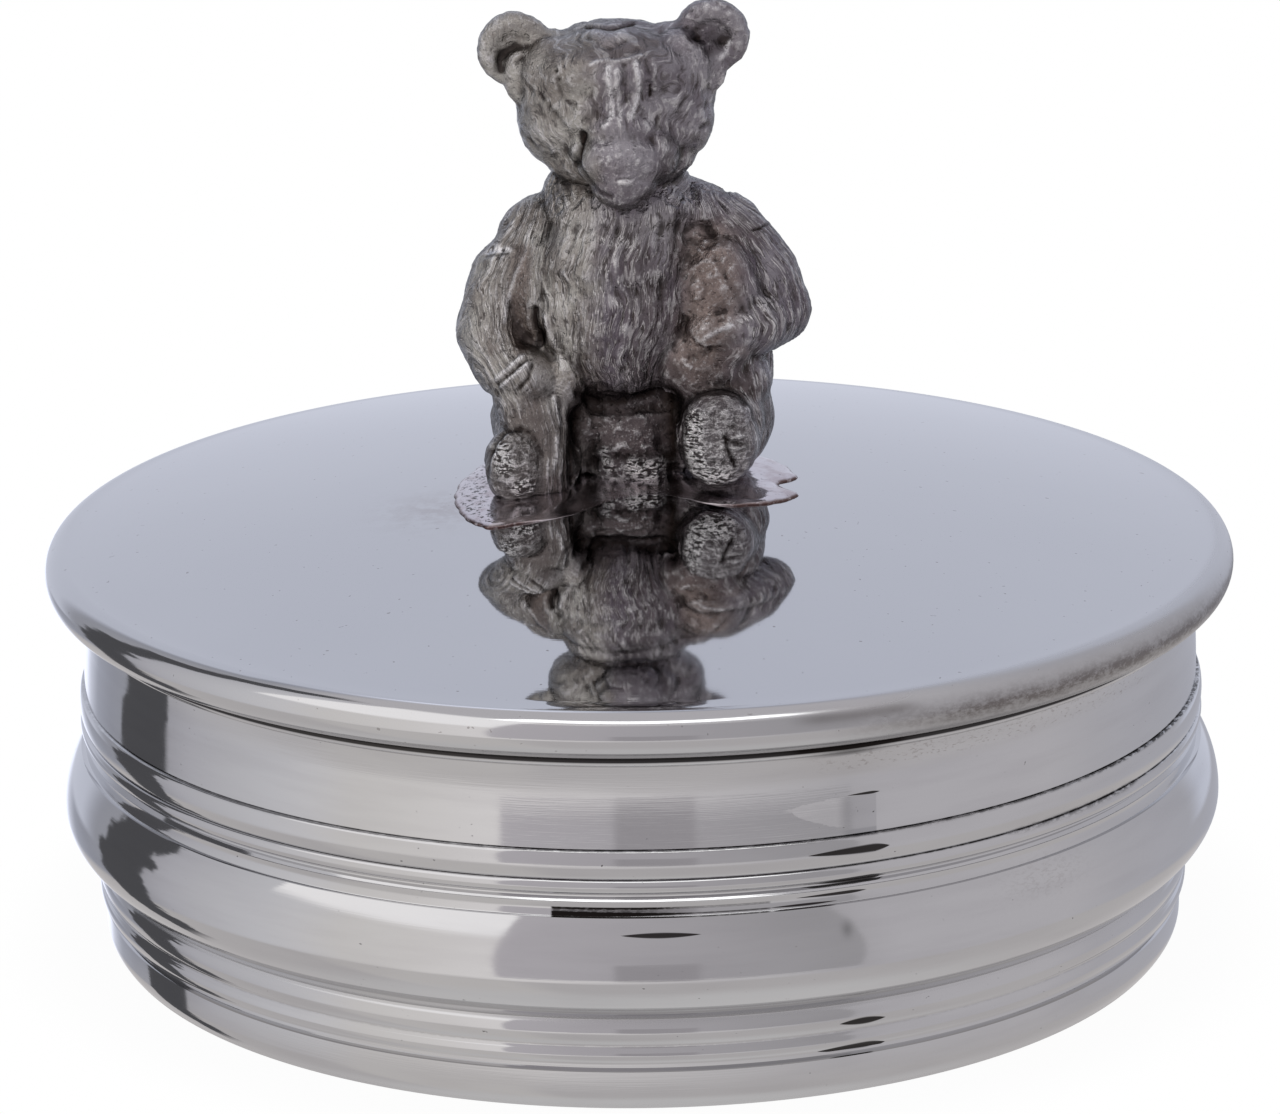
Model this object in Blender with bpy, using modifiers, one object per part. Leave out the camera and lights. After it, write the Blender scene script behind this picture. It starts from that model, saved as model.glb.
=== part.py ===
"""Round trinket box in turned pewter, with a lift-off domed lid and a cast sitting bear as its knob.

Metres, +Z up. The origin is the centre of the foot's underside, and the bear faces -Y.
The body is a stack of turned rings on a floor disc. The lid is a domed plate with a rolled
rim, a collar that drops inside the mouth, and the bear soldered to its crown.
"""

import math

import bmesh
import bpy
from mathutils import Matrix, Vector

# Fit and finish shared by all the pieces
seam_gap = 0.0001
register_height = 0.0006
collar_clearance = 0.0003

# Fineness of the round forms, and the distance within which points are one
weld_distance = 0.00001
turn_segments = 64
reed_steps = 4
swell_steps = 3
nose_steps = 6
dome_steps = 5
ball_segments = 24
ball_rings = 14
balls_per_limb_run = 7
balls_per_ear = 18

# Heights of the body's rings, from the table up
foot_ring_height = 0.00595
belly_ring_height = 0.00910
reed_ring_height = 0.00182
mouth_band_height = 0.00608

# Bores of the mouth and of the foot, which the walls are built out from
mouth_bore_radius = 0.03455
foot_wall_radius = 0.03385

# Foot ring
foot_band_wall = 0.00100
foot_edge_inset = 0.00061
foot_band_height = 0.00262
foot_edge_round = 0.0006
foot_step_inset = 0.00005
foot_step_height = 0.00050
foot_groove_depth = 0.00025
foot_reed_rise = 0.00045
foot_ledge_width = 0.00085
lower_register_wall = 0.00050

# Floor disc, held on the ledge inside the foot ring
floor_ledge_height = 0.00160
floor_thickness = 0.00120

# Belly ring
belly_swell = 0.00153
belly_crest_drop = 0.00590
belly_foot_rise = 0.00035
belly_shoulder_rise = 0.00025
cove_top_drop = 0.00130
cove_height = 0.00095
cove_depth = 0.00035
upper_reed_wall = 0.00130
upper_reed_rise = 0.00025
upper_register_wall = 0.00065
belly_wall = 0.00120

# Mouth band
mouth_wall = 0.00120
mouth_lip_rise = 0.00040
mouth_lip_height = 0.00075

# Lid
lid_overhang = 0.00225
lid_rim_height = 0.00300
lid_rise = 0.00400
lid_wall = 0.00120
collar_ledge = 0.00005
collar_wall = 0.00100
collar_depth = 0.00400
collar_lead_in = 0.00040

# Solder puddle under the bear
puddle_width = 0.0220
puddle_length = 0.0210
puddle_thickness = 0.00040

# Sitting bear
bear_width = 0.0224
bear_depth = 0.0135
bear_height = 0.0300
bear_voxel = 0.00034
bear_facet_share = 0.09

# Levels that follow from the heights above
foot_top = foot_ring_height
belly_top = foot_top + belly_ring_height
reed_top = belly_top + reed_ring_height
mouth_top = reed_top + mouth_band_height
lid_seat = mouth_top + seam_gap
dome_edge = lid_seat + lid_rim_height
dome_crown = dome_edge + lid_rise
bear_seat_lift = puddle_thickness + 2 * seam_gap

# Radii that follow from the two bores
foot_band_radius = foot_wall_radius + foot_band_wall
foot_edge_radius = foot_band_radius - foot_edge_inset
foot_step_radius = foot_band_radius - foot_step_inset
foot_bore_radius = foot_wall_radius - foot_ledge_width
lower_register_radius = foot_wall_radius + lower_register_wall
belly_foot_radius = foot_band_radius + foot_reed_rise
upper_reed_radius = mouth_bore_radius + upper_reed_wall
belly_shoulder_radius = upper_reed_radius + belly_shoulder_rise
upper_register_radius = mouth_bore_radius + upper_register_wall
mouth_band_radius = mouth_bore_radius + mouth_wall
belly_radius = mouth_band_radius + belly_swell
lid_rim_radius = mouth_band_radius + lid_overhang
rim_nose_radius = lid_rim_height / 2
dome_edge_radius = lid_rim_radius - rim_nose_radius
collar_outer_radius = mouth_bore_radius - collar_clearance
collar_inner_radius = collar_outer_radius - collar_wall
lid_seat_radius = collar_inner_radius - collar_ledge

# Outline of the puddle: (across, forward) as shares of half its width and of half its length
puddle_outline_shares = [
    (-1.00, -0.42), (-0.99, -0.18), (-0.93, 0.06), (-0.83, 0.32), (-0.62, 0.58), (-0.38, 0.74),
    (-0.05, 0.80), (0.25, 0.72), (0.46, 0.50), (0.66, 0.36), (0.82, 0.20), (0.90, 0.02),
    (0.97, -0.18), (0.84, -0.30), (0.84, -0.37), (0.96, -0.52), (0.90, -0.64), (0.76, -0.70),
    (0.58, -0.74), (0.36, -0.68), (0.20, -0.56), (0.00, -0.54), (-0.20, -0.70), (-0.34, -0.87),
    (-0.52, -0.95), (-0.68, -0.99), (-0.83, -1.00), (-0.93, -0.86), (-0.98, -0.64),
]

# Rounded masses of the bear: name, then centre and half sizes, as shares of its width, depth and
# height. Heights are counted up from the lid's crown, and a forward place is a negative depth.
bear_mass_shares = [
    ("rump", (-0.02, 0.06, 0.115), (0.270, 0.320, 0.125)),
    ("seat_block", (-0.03, -0.12, 0.060), (0.165, 0.150, 0.080)),
    ("belly", (-0.05, -0.03, 0.360), (0.285, 0.400, 0.200)),
    ("chest", (-0.02, 0.02, 0.480), (0.310, 0.320, 0.135)),
    ("shoulders", (0.00, 0.03, 0.560), (0.290, 0.260, 0.085)),
    ("left_flank", (-0.260, 0.04, 0.370), (0.130, 0.220, 0.150)),
    ("right_flank", (0.210, 0.02, 0.370), (0.150, 0.260, 0.160)),
    ("neck", (-0.04, 0.01, 0.615), (0.215, 0.270, 0.060)),
    ("skull", (-0.05, -0.01, 0.820), (0.284, 0.390, 0.155)),
    ("brow", (-0.05, -0.11, 0.880), (0.240, 0.300, 0.090)),
    ("jaw", (-0.04, -0.17, 0.705), (0.220, 0.300, 0.090)),
    ("left_cheek", (-0.187, -0.08, 0.770), (0.140, 0.260, 0.105)),
    ("right_cheek", (0.090, -0.08, 0.775), (0.140, 0.260, 0.105)),
    ("muzzle", (-0.035, -0.38, 0.692), (0.124, 0.205, 0.082)),
    ("nose", (-0.028, -0.565, 0.682), (0.034, 0.040, 0.017)),
    ("left_haunch", (-0.265, -0.06, 0.120), (0.150, 0.320, 0.120)),
    ("right_haunch", (0.240, -0.06, 0.125), (0.150, 0.330, 0.125)),
    ("left_foot", (-0.350, -0.42, 0.062), (0.076, 0.160, 0.078)),
    ("right_sole", (0.228, -0.50, 0.118), (0.112, 0.095, 0.100)),
]

# Limbs: points on the middle line, each with its radius, as shares of the bear's width, depth,
# height and, for the radius, width
bear_limb_shares = [
    ("left_arm", [(-0.265, 0.02, 0.500, 0.100), (-0.365, 0.00, 0.415, 0.108),
                  (-0.405, -0.04, 0.310, 0.105), (-0.370, -0.20, 0.255, 0.090),
                  (-0.300, -0.30, 0.240, 0.080)]),
    ("right_arm", [(0.258, 0.02, 0.520, 0.105), (0.352, 0.00, 0.425, 0.112),
                   (0.390, -0.06, 0.345, 0.105), (0.320, -0.24, 0.305, 0.095),
                   (0.210, -0.34, 0.300, 0.085)]),
    ("left_leg", [(-0.275, -0.10, 0.150, 0.120), (-0.285, -0.27, 0.150, 0.110),
                  (-0.270, -0.32, 0.060, 0.112)]),
    ("right_leg", [(0.235, -0.08, 0.145, 0.130), (0.235, -0.30, 0.140, 0.125),
                   (0.228, -0.40, 0.110, 0.118)]),
]

# Ears: each a ring of balls round a thinner disc that leaves a hollow in front
ear_centre_shares = [("left_ear", (-0.328, 0.02, 0.912)), ("right_ear", (0.222, 0.02, 0.935))]
ear_ring_radius = 0.00165
ear_roll_half_sizes = (0.00072, 0.00072, 0.00072)
ear_disc_half_sizes = (0.00165, 0.00050, 0.00165)
ear_disc_setback = 0.00045


def clear_scene():
    for obj in list(bpy.data.objects):
        bpy.data.objects.remove(obj, do_unlink=True)


def new_collection(name):
    collection = bpy.data.collections.new(name)
    bpy.context.scene.collection.children.link(collection)
    return collection


def pewter(name, colour, roughness):
    material = bpy.data.materials.new(name)
    material.use_nodes = True
    shader = material.node_tree.nodes["Principled BSDF"]
    shader.inputs["Base Color"].default_value = (*colour, 1)
    shader.inputs["Roughness"].default_value = roughness
    shader.inputs["Metallic"].default_value = 1
    return material


def add_object(name, mesh, collection, material=None):
    obj = bpy.data.objects.new(name, mesh)
    collection.objects.link(obj)
    if material:
        mesh.materials.append(material)
    return obj


def add_cutter(name, mesh):
    cutter = add_object(name, mesh, cutters)
    cutter.hide_render = True
    cutter.display_type = "WIRE"
    return cutter


# Outline pieces: each is a list of (radius, height) points


def half_round(top, bottom, edge_radius, rise, steps=reed_steps):
    """A reed between two heights, or a cove where its rise is negative."""
    middle = (top + bottom) / 2
    half = (top - bottom) / 2
    points = []
    for step in range(steps + 1):
        angle = math.pi * step / steps
        points.append((edge_radius + rise * math.sin(angle), middle + half * math.cos(angle)))
    return points


def swell(crest, end, upward):
    """A parabola from a crest point to an end point, listed from the top down."""
    points = []
    for step in range(swell_steps + 1):
        share = step / swell_steps
        radius = crest[0] - (crest[0] - end[0]) * share ** 2
        height = crest[1] + (end[1] - crest[1]) * share
        points.append((radius, height))
    return points[::-1] if upward else points


def dome_points(outer_radius, lift):
    """The lid's dome from its crown outwards, raised by lift."""
    points = []
    for step in range(dome_steps + 1):
        radius = outer_radius * step / dome_steps
        points.append((radius, dome_height(radius) + lift))
    return points


def dome_height(radius):
    return dome_edge + lid_rise * (1 - (radius / dome_edge_radius) ** 2)


def turned_mesh(name, points, closed):
    """The outline as loose edges at +X, for a Screw modifier to turn about Z."""
    count = len(points)
    edges = [(i, i + 1) for i in range(count - 1)]
    if closed:
        edges.append((count - 1, 0))
    mesh = bpy.data.meshes.new(name)
    mesh.from_pydata([(radius, 0, height) for radius, height in points], edges, [])
    return mesh


def add_turning(obj):
    screw = obj.modifiers.new("turning", "SCREW")
    screw.steps = turn_segments
    screw.render_steps = turn_segments
    screw.use_merge_vertices = True
    screw.merge_threshold = weld_distance
    screw.use_smooth_shade = True


def turned(name, points, material, closed=True):
    obj = add_object(name, turned_mesh(name, points, closed), pieces, material)
    add_turning(obj)
    return obj


def foot_ring():
    """The reeded foot: a plain band, a turned line, a step and two reeds, with a ledge for the floor."""
    band_top = foot_band_height
    step_top = band_top + foot_step_height
    reed_height = (foot_top - step_top) / 2
    upper = half_round(foot_top, foot_top - reed_height, foot_band_radius, foot_reed_rise)
    lower = half_round(step_top + reed_height, step_top, foot_band_radius, foot_reed_rise)
    outer = [
        (foot_step_radius, step_top - foot_step_height / 2),
        (foot_step_radius - foot_groove_depth, band_top),
        (foot_band_radius, band_top - foot_groove_depth),
        (foot_band_radius, foot_edge_round * 2),
        (foot_edge_radius + foot_edge_round / 2, foot_edge_round / 2),
        (foot_edge_radius, 0),
    ]
    bore_edge = foot_bore_radius + foot_groove_depth
    inner = [
        (bore_edge, 0),
        (foot_bore_radius, foot_groove_depth),
        (foot_bore_radius, floor_ledge_height),
        (foot_wall_radius, floor_ledge_height),
        (foot_wall_radius, foot_top + register_height),
        (lower_register_radius, foot_top + register_height),
        (lower_register_radius, foot_top),
    ]
    return turned("foot_ring", upper + lower[1:] + outer + inner, polished)


def floor_disc():
    """The flat base, resting on the foot ring's ledge."""
    radius = foot_wall_radius - seam_gap
    low = floor_ledge_height + seam_gap
    high = low + floor_thickness
    points = [(0, high), (radius, high), (radius, low), (0, low)]
    return turned("floor_disc", points, brushed, closed=False)


def belly_ring():
    """The swelling middle of the box, with a cove and one reed above the swell."""
    low = foot_top + seam_gap
    crest_height = belly_top - belly_crest_drop
    cove_top = belly_top - cove_top_drop
    cove_bottom = cove_top - cove_height
    reed = half_round(belly_top, cove_top, upper_reed_radius, upper_reed_rise)
    cove = half_round(cove_top, cove_bottom, upper_reed_radius, -cove_depth)
    crest = (belly_radius, crest_height)
    shoulder = (belly_shoulder_radius, cove_bottom)
    foot = (belly_foot_radius, low + belly_foot_rise)
    upper = swell(crest, shoulder, upward=True)
    lower = swell(crest, foot, upward=False)
    lower_lap = foot_wall_radius - seam_gap
    lap_radius = lower_register_radius + seam_gap
    inner = [
        (foot_band_radius, low),
        (lap_radius, low),
        (lap_radius, low + register_height),
        (lower_lap, low + register_height),
    ]
    inside_crest = (belly_radius - belly_wall, crest_height)
    inside_foot = (foot_wall_radius, low + 2 * register_height)
    inside_top = (mouth_bore_radius, cove_bottom)
    inside = swell(inside_crest, inside_foot, upward=False)[::-1]
    inside += swell(inside_crest, inside_top, upward=True)[-2::-1]
    register = [
        (mouth_bore_radius, belly_top + register_height),
        (upper_register_radius, belly_top + register_height),
        (upper_register_radius, belly_top),
    ]
    outline = reed + cove[1:] + upper + lower[1:] + inner + inside + register
    return turned("belly_ring", outline, polished)


def reed_ring():
    """The half-round reed between the belly and the mouth band."""
    low = belly_top + seam_gap
    outer = half_round(reed_top, low, upper_reed_radius, upper_reed_rise)
    lap_radius = upper_register_radius + seam_gap
    lap_top = low + register_height
    inner = [
        (lap_radius, low),
        (lap_radius, lap_top),
        (mouth_bore_radius, lap_top),
        (mouth_bore_radius, reed_top + register_height),
        (upper_register_radius, reed_top + register_height),
        (upper_register_radius, reed_top),
    ]
    return turned("reed_ring", outer + inner, polished)


def mouth_band():
    """The plain upright wall, with a small lip that the lid sits on."""
    low = reed_top + seam_gap
    lip_bottom = mouth_top - mouth_lip_height
    outer = half_round(mouth_top, lip_bottom, mouth_band_radius, mouth_lip_rise)
    lap_radius = upper_register_radius + seam_gap
    lap_top = low + register_height
    inner = [
        (mouth_band_radius, low),
        (lap_radius, low),
        (lap_radius, lap_top),
        (mouth_bore_radius, lap_top),
        (mouth_bore_radius, mouth_top),
    ]
    return turned("mouth_band", outer + inner, polished)


def lid_plate():
    """The domed top with its full-round rim, hollow underneath."""
    top = dome_points(dome_edge_radius, 0)
    nose = half_round(dome_edge, lid_seat, dome_edge_radius, rim_nose_radius, steps=nose_steps)
    underside = dome_points(lid_seat_radius, -lid_wall)[::-1]
    outline = top + nose[1:] + [(lid_seat_radius, lid_seat)] + underside
    return turned("lid_plate", outline, polished, closed=False)


def lid_collar():
    """The locating ring soldered under the lid, which drops inside the mouth."""
    high = lid_seat - seam_gap
    low = lid_seat - collar_depth
    outline = [
        (collar_outer_radius, high),
        (collar_outer_radius, low + collar_lead_in),
        (collar_outer_radius - collar_lead_in, low),
        (collar_inner_radius, low),
        (collar_inner_radius, high),
    ]
    return turned("lid_collar", outline, brushed)


def solder_puddle():
    """A thin pool on the dome: the flat outline stood up as a block, then cut to the dome's curve."""
    curve = bpy.data.curves.new("solder_puddle", "CURVE")
    curve.dimensions = "2D"
    curve.fill_mode = "BOTH"
    curve.extrude = lid_rise
    spline = curve.splines.new("POLY")
    spline.points.add(len(puddle_outline_shares) - 1)
    for point, (across, forward) in zip(spline.points, puddle_outline_shares):
        point.co = (across * puddle_width / 2, forward * puddle_length / 2, 0, 1)
    spline.use_cyclic_u = True
    guide = add_object("solder_puddle_outline", curve, cutters)
    bpy.context.view_layer.update()
    evaluated = guide.evaluated_get(bpy.context.evaluated_depsgraph_get())
    mesh = bpy.data.meshes.new_from_object(evaluated)
    bpy.data.objects.remove(guide, do_unlink=True)
    edit = bmesh.new()
    edit.from_mesh(mesh)
    bmesh.ops.remove_doubles(edit, verts=edit.verts, dist=weld_distance)
    bmesh.ops.recalc_face_normals(edit, faces=edit.faces)
    bmesh.ops.translate(edit, verts=edit.verts, vec=(0, 0, dome_crown))
    edit.to_mesh(mesh)
    edit.free()
    puddle = add_object("solder_puddle", mesh, pieces, solder)
    low = dome_points(puddle_width, seam_gap)
    high = dome_points(puddle_width, seam_gap + puddle_thickness)
    skin = add_cutter("puddle_skin", turned_mesh("puddle_skin", high + low[::-1], closed=False))
    add_turning(skin)
    cut = puddle.modifiers.new("dome skin", "BOOLEAN")
    cut.operation = "INTERSECT"
    cut.object = skin
    return puddle


def unit_ball():
    edit = bmesh.new()
    bmesh.ops.create_uvsphere(edit, u_segments=ball_segments, v_segments=ball_rings, radius=1)
    mesh = bpy.data.meshes.new("unit_ball")
    edit.to_mesh(mesh)
    edit.free()
    return mesh


def add_ball(edit, ball, centre, half_sizes):
    """A rounded mass: a copy of the unit ball stretched to its half sizes."""
    mass = ball.copy()
    mass.transform(Matrix.Translation(centre) @ Matrix.Diagonal((*half_sizes, 1)))
    edit.from_mesh(mass)
    bpy.data.meshes.remove(mass)


def bear_place(shares):
    across, forward, up = shares
    return Vector((across * bear_width, forward * bear_depth, dome_crown + up * bear_height))


def add_masses(edit, ball):
    for _, centre, half_sizes in bear_mass_shares:
        sizes = (half_sizes[0] * bear_width, half_sizes[1] * bear_depth, half_sizes[2] * bear_height)
        add_ball(edit, ball, bear_place(centre), sizes)


def add_limbs(edit, ball):
    """Each run between two points of a limb is filled with balls that taper from one to the other."""
    for _, points in bear_limb_shares:
        for start, end in zip(points, points[1:]):
            for step in range(balls_per_limb_run + 1):
                share = step / balls_per_limb_run
                place = bear_place(start[:3]).lerp(bear_place(end[:3]), share)
                radius = (start[3] + (end[3] - start[3]) * share) * bear_width
                add_ball(edit, ball, place, (radius, radius, radius))


def add_ears(edit, ball):
    for _, centre in ear_centre_shares:
        middle = bear_place(centre)
        add_ball(edit, ball, middle + Vector((0, ear_disc_setback, 0)), ear_disc_half_sizes)
        for step in range(balls_per_ear):
            angle = 2 * math.pi * step / balls_per_ear
            offset = Vector((math.cos(angle), 0, math.sin(angle))) * ear_ring_radius
            add_ball(edit, ball, middle + offset, ear_roll_half_sizes)


def bear_finial():
    """The cast bear in one piece: rounded masses flowed together, its underside cut to the puddle."""
    edit = bmesh.new()
    ball = unit_ball()
    add_masses(edit, ball)
    add_limbs(edit, ball)
    add_ears(edit, ball)
    mesh = bpy.data.meshes.new("bear_finial")
    edit.to_mesh(mesh)
    edit.free()
    bear = add_object("bear_finial", mesh, pieces, antiqued)
    flow = bear.modifiers.new("flowed together", "REMESH")
    flow.mode = "VOXEL"
    flow.voxel_size = bear_voxel
    flow.use_smooth_shade = True
    soften = bear.modifiers.new("cast softness", "SMOOTH")
    soften.factor = 0.5
    soften.iterations = 3
    facets = bear.modifiers.new("fewer facets", "DECIMATE")
    facets.ratio = bear_facet_share
    top = dome_points(bear_width, bear_seat_lift)
    block = top + [(bear_width, mouth_top), (0, mouth_top)]
    seat = add_cutter("bear_seat", turned_mesh("bear_seat", block, closed=False))
    add_turning(seat)
    cut = bear.modifiers.new("seat", "BOOLEAN")
    cut.object = seat
    return bear


clear_scene()
pieces = new_collection("trinket_box")
cutters = new_collection("cutters")
polished = pewter("polished_pewter", (0.62, 0.62, 0.64), 0.12)
brushed = pewter("brushed_pewter", (0.55, 0.55, 0.57), 0.35)
antiqued = pewter("antiqued_pewter", (0.20, 0.19, 0.19), 0.45)
solder = pewter("solder", (0.50, 0.49, 0.52), 0.25)

body_pieces = [foot_ring(), floor_disc(), belly_ring(), reed_ring(), mouth_band()]
lid_pieces = [lid_plate(), lid_collar(), solder_puddle(), bear_finial()]

# The lid lifts straight up, so its parent empty stands on the box's axis at the seat
lift_axis = bpy.data.objects.new("lid_lift", None)
pieces.objects.link(lift_axis)
lift_axis.location = (0, 0, lid_seat)
for piece in lid_pieces:
    piece.parent = lift_axis
    piece.matrix_parent_inverse = Matrix.Translation((0, 0, -lid_seat))
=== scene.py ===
"""Looks of the pewter trinket box: turned rings, a domed lid, and a cast sitting bear as its knob.

Metres, +Z up, the origin at the centre of the foot's underside. The bear faces -Y.
"""

import math

import bpy
import numpy as np
from mathutils import Matrix, Vector, noise


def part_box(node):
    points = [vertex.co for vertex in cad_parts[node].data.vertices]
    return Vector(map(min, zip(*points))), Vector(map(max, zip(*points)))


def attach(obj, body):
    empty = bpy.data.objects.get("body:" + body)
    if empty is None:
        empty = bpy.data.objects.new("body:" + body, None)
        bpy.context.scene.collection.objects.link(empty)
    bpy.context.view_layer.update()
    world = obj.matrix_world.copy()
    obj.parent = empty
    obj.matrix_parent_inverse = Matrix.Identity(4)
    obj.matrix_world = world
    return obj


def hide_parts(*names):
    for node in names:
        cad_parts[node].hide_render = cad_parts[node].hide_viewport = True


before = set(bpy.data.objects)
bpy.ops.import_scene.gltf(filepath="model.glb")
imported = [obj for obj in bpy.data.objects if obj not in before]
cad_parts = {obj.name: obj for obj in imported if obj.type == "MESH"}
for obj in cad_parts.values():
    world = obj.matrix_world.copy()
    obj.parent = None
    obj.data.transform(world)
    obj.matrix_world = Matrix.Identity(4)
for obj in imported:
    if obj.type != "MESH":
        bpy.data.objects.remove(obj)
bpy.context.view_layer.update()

mm = 0.001

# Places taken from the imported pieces
mouth_low, mouth_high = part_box("mouth_band")
reed_low, reed_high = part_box("reed_ring")
belly_low, belly_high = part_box("belly_ring")
_, foot_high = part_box("foot_ring")
lid_low, lid_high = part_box("lid_plate")
collar_low, collar_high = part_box("lid_collar")
_, bear_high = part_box("bear_finial")
disc_low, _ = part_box("floor_disc")

# The photograph looks down at the box by a little over seventeen degrees
look_down = math.radians(17.051)

# How fine the turned pieces are, and the distance within which points are one
turn_steps = 256
curve_steps = 14
weld_distance = 0.004 * mm

# Shared by the rings
seam_gap = 0.015 * mm
register_height = 0.6 * mm
register_step = 0.65 * mm
edge_round = 0.07 * mm
reed_rise = 0.25 * mm
mouth_bore = collar_high.x + 0.3 * mm
register_radius = mouth_bore + register_step

# Mouth band
mouth_lip_rise = 0.4 * mm
mouth_lip_height = 0.75 * mm
mouth_wall_radius = mouth_high.x - mouth_lip_rise
mouth_waist_height = 3.2 * mm
mouth_waist_depth = 0.09 * mm

# Reeds between the mouth band and the belly
upper_reed_radius = reed_high.x - reed_rise
belly_top = reed_low.z - seam_gap
reed_top = mouth_low.z - seam_gap

# Belly
belly_radius = belly_high.x
belly_crest = belly_low.z + 3.1 * mm
belly_reed_height = 0.86 * mm
cove_height = 0.5 * mm
cove_depth = 0.22 * mm
cove_drop = 0.16 * mm
cove_slope = 1.13 * cove_depth
belly_band_height = 0.95 * mm
belly_band_depth = 0.1 * mm
belly_shoulder_rise = 0.25 * mm
belly_foot_rise = 0.2 * mm
belly_foot_step = 0.26 * mm
belly_lap = 0.6 * mm
belly_wall = 1.2 * mm

# Foot
foot_radius = foot_high.x - 0.45 * mm
foot_top = belly_low.z - seam_gap
foot_reed_rise = 0.45 * mm
foot_groove_fill = 0.22 * mm
foot_wall = foot_radius - 1 * mm
foot_bore = foot_wall - 0.85 * mm
foot_middle_groove = 4.3 * mm
foot_reeds_bottom = 3.1 * mm
foot_line_height = 2.68 * mm
foot_edge_inset = 0.61 * mm
foot_edge_height = 1.25 * mm
foot_line_inset = 0.05 * mm
foot_bevel = 0.25 * mm
foot_register_step = 0.5 * mm

# Lid
lid_radius = lid_high.x
rim_round = 1.5 * mm
dome_edge_radius = lid_radius - rim_round
dome_edge = lid_low.z + 2 * rim_round
dome_crown = lid_high.z
lid_wall = 1.2 * mm
collar_wall = 1 * mm
collar_lead = 0.4 * mm
collar_gap = 0.05 * mm


def dome_height(radius):
    """Height of the lid's top at a distance from the axis."""
    share = radius / dome_edge_radius
    return dome_crown - (dome_crown - dome_edge) * (1.1 * share ** 2 - 0.1 * share ** 3)


# Pieces drawn as an outline and spun about the axis


def clear_selection():
    if bpy.context.object and bpy.context.object.mode != "OBJECT":
        bpy.ops.object.mode_set(mode="OBJECT")
    bpy.ops.object.select_all(action="DESELECT")


def make_active(piece):
    clear_selection()
    piece.select_set(True)
    bpy.context.view_layer.objects.active = piece


def start_point(name, place):
    """Begin a piece as one vertex: a small square merged at its middle."""
    clear_selection()
    bpy.ops.mesh.primitive_plane_add(size=mm, location=place)
    piece = bpy.context.object
    piece.name = name
    piece.data.name = name
    bpy.ops.object.mode_set(mode="EDIT")
    bpy.ops.mesh.select_all(action="SELECT")
    bpy.ops.mesh.merge(type="CENTER")
    return piece


def draw_on(places):
    """Extrude the selected vertex from place to place."""
    for here, there in zip(places, places[1:]):
        step = Vector(there) - Vector(here)
        bpy.ops.mesh.extrude_region_move(TRANSFORM_OT_translate={"value": step})


def weld():
    bpy.ops.mesh.select_all(action="SELECT")
    bpy.ops.mesh.remove_doubles(threshold=weld_distance)


def face_outwards():
    bpy.ops.mesh.select_all(action="SELECT")
    bpy.ops.mesh.normals_make_consistent(inside=False)


def settle(piece, smooth_angle):
    """Leave edit mode, put the object at the origin and smooth its shading."""
    bpy.ops.object.mode_set(mode="OBJECT")
    make_active(piece)
    bpy.ops.object.transform_apply(location=True, rotation=True, scale=True)
    bpy.ops.object.shade_smooth_by_angle(angle=math.radians(smooth_angle))
    return piece


def turned(name, outline, closed=True, smooth_angle=40):
    """Draw an outline of (radius, height) points and spin it about the box's axis."""
    places = [(radius, 0, height) for radius, height in outline]
    if closed:
        places.append(places[0])
    piece = start_point(name, places[0])
    draw_on(places)
    bpy.ops.mesh.select_all(action="SELECT")
    bpy.ops.mesh.spin(steps=turn_steps, angle=2 * math.pi, center=(0, 0, 0), axis=(0, 0, 1))
    weld()
    face_outwards()
    return settle(piece, smooth_angle)


def bulge(top, bottom, edge, rise, steps=curve_steps):
    """A half-round reed between two heights, or a cove where its rise is negative."""
    middle, half = (top + bottom) / 2, (top - bottom) / 2
    angles = [math.pi * step / steps for step in range(steps + 1)]
    return [(edge + rise * math.sin(angle), middle + half * math.cos(angle)) for angle in angles]


def parabola(crest, end, steps=curve_steps):
    """The swell from a crest to an end point, crest first."""
    reach, fall = crest[0] - end[0], end[1] - crest[1]
    shares = [step / steps for step in range(steps + 1)]
    return [(crest[0] - reach * share ** 2, crest[1] + fall * share) for share in shares]


def register(outer, inner, low):
    """The step inside a ring's lower end, where the ring below fits in. Turned round, its upper end."""
    return [(outer, low), (outer, low + register_height), (inner, low + register_height)]


def make_mouth_band():
    top, low = mouth_high.z, mouth_low.z
    lip_low = top - mouth_lip_height
    waist = mouth_wall_radius - mouth_waist_depth
    rise_to_lip = lip_low - low - mouth_waist_height
    outline = [(mouth_bore, top - 2 * edge_round), (mouth_bore + 2 * edge_round, top)]
    outline += bulge(top, lip_low, mouth_wall_radius, mouth_lip_rise)
    outline += [(waist + 0.5 * mouth_waist_depth, lip_low - 0.35 * rise_to_lip)]
    outline += [(waist + 0.1 * mouth_waist_depth, lip_low - 0.75 * rise_to_lip)]
    outline += [(waist, low + mouth_waist_height)]
    outline += [(waist + 0.55 * mouth_waist_depth, low + 0.45 * mouth_waist_height)]
    outline += [(mouth_wall_radius, low + edge_round), (mouth_wall_radius - edge_round, low)]
    outline += register(register_radius + seam_gap, mouth_bore, low)
    return turned("mouth_band_wall", outline)


def make_reed_ring():
    outline = bulge(reed_top, reed_low.z, upper_reed_radius, reed_rise)
    outline += register(register_radius + seam_gap, mouth_bore, reed_low.z)
    outline += register(register_radius, mouth_bore, reed_top)[::-1]
    return turned("reed_between_seams", outline)


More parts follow.
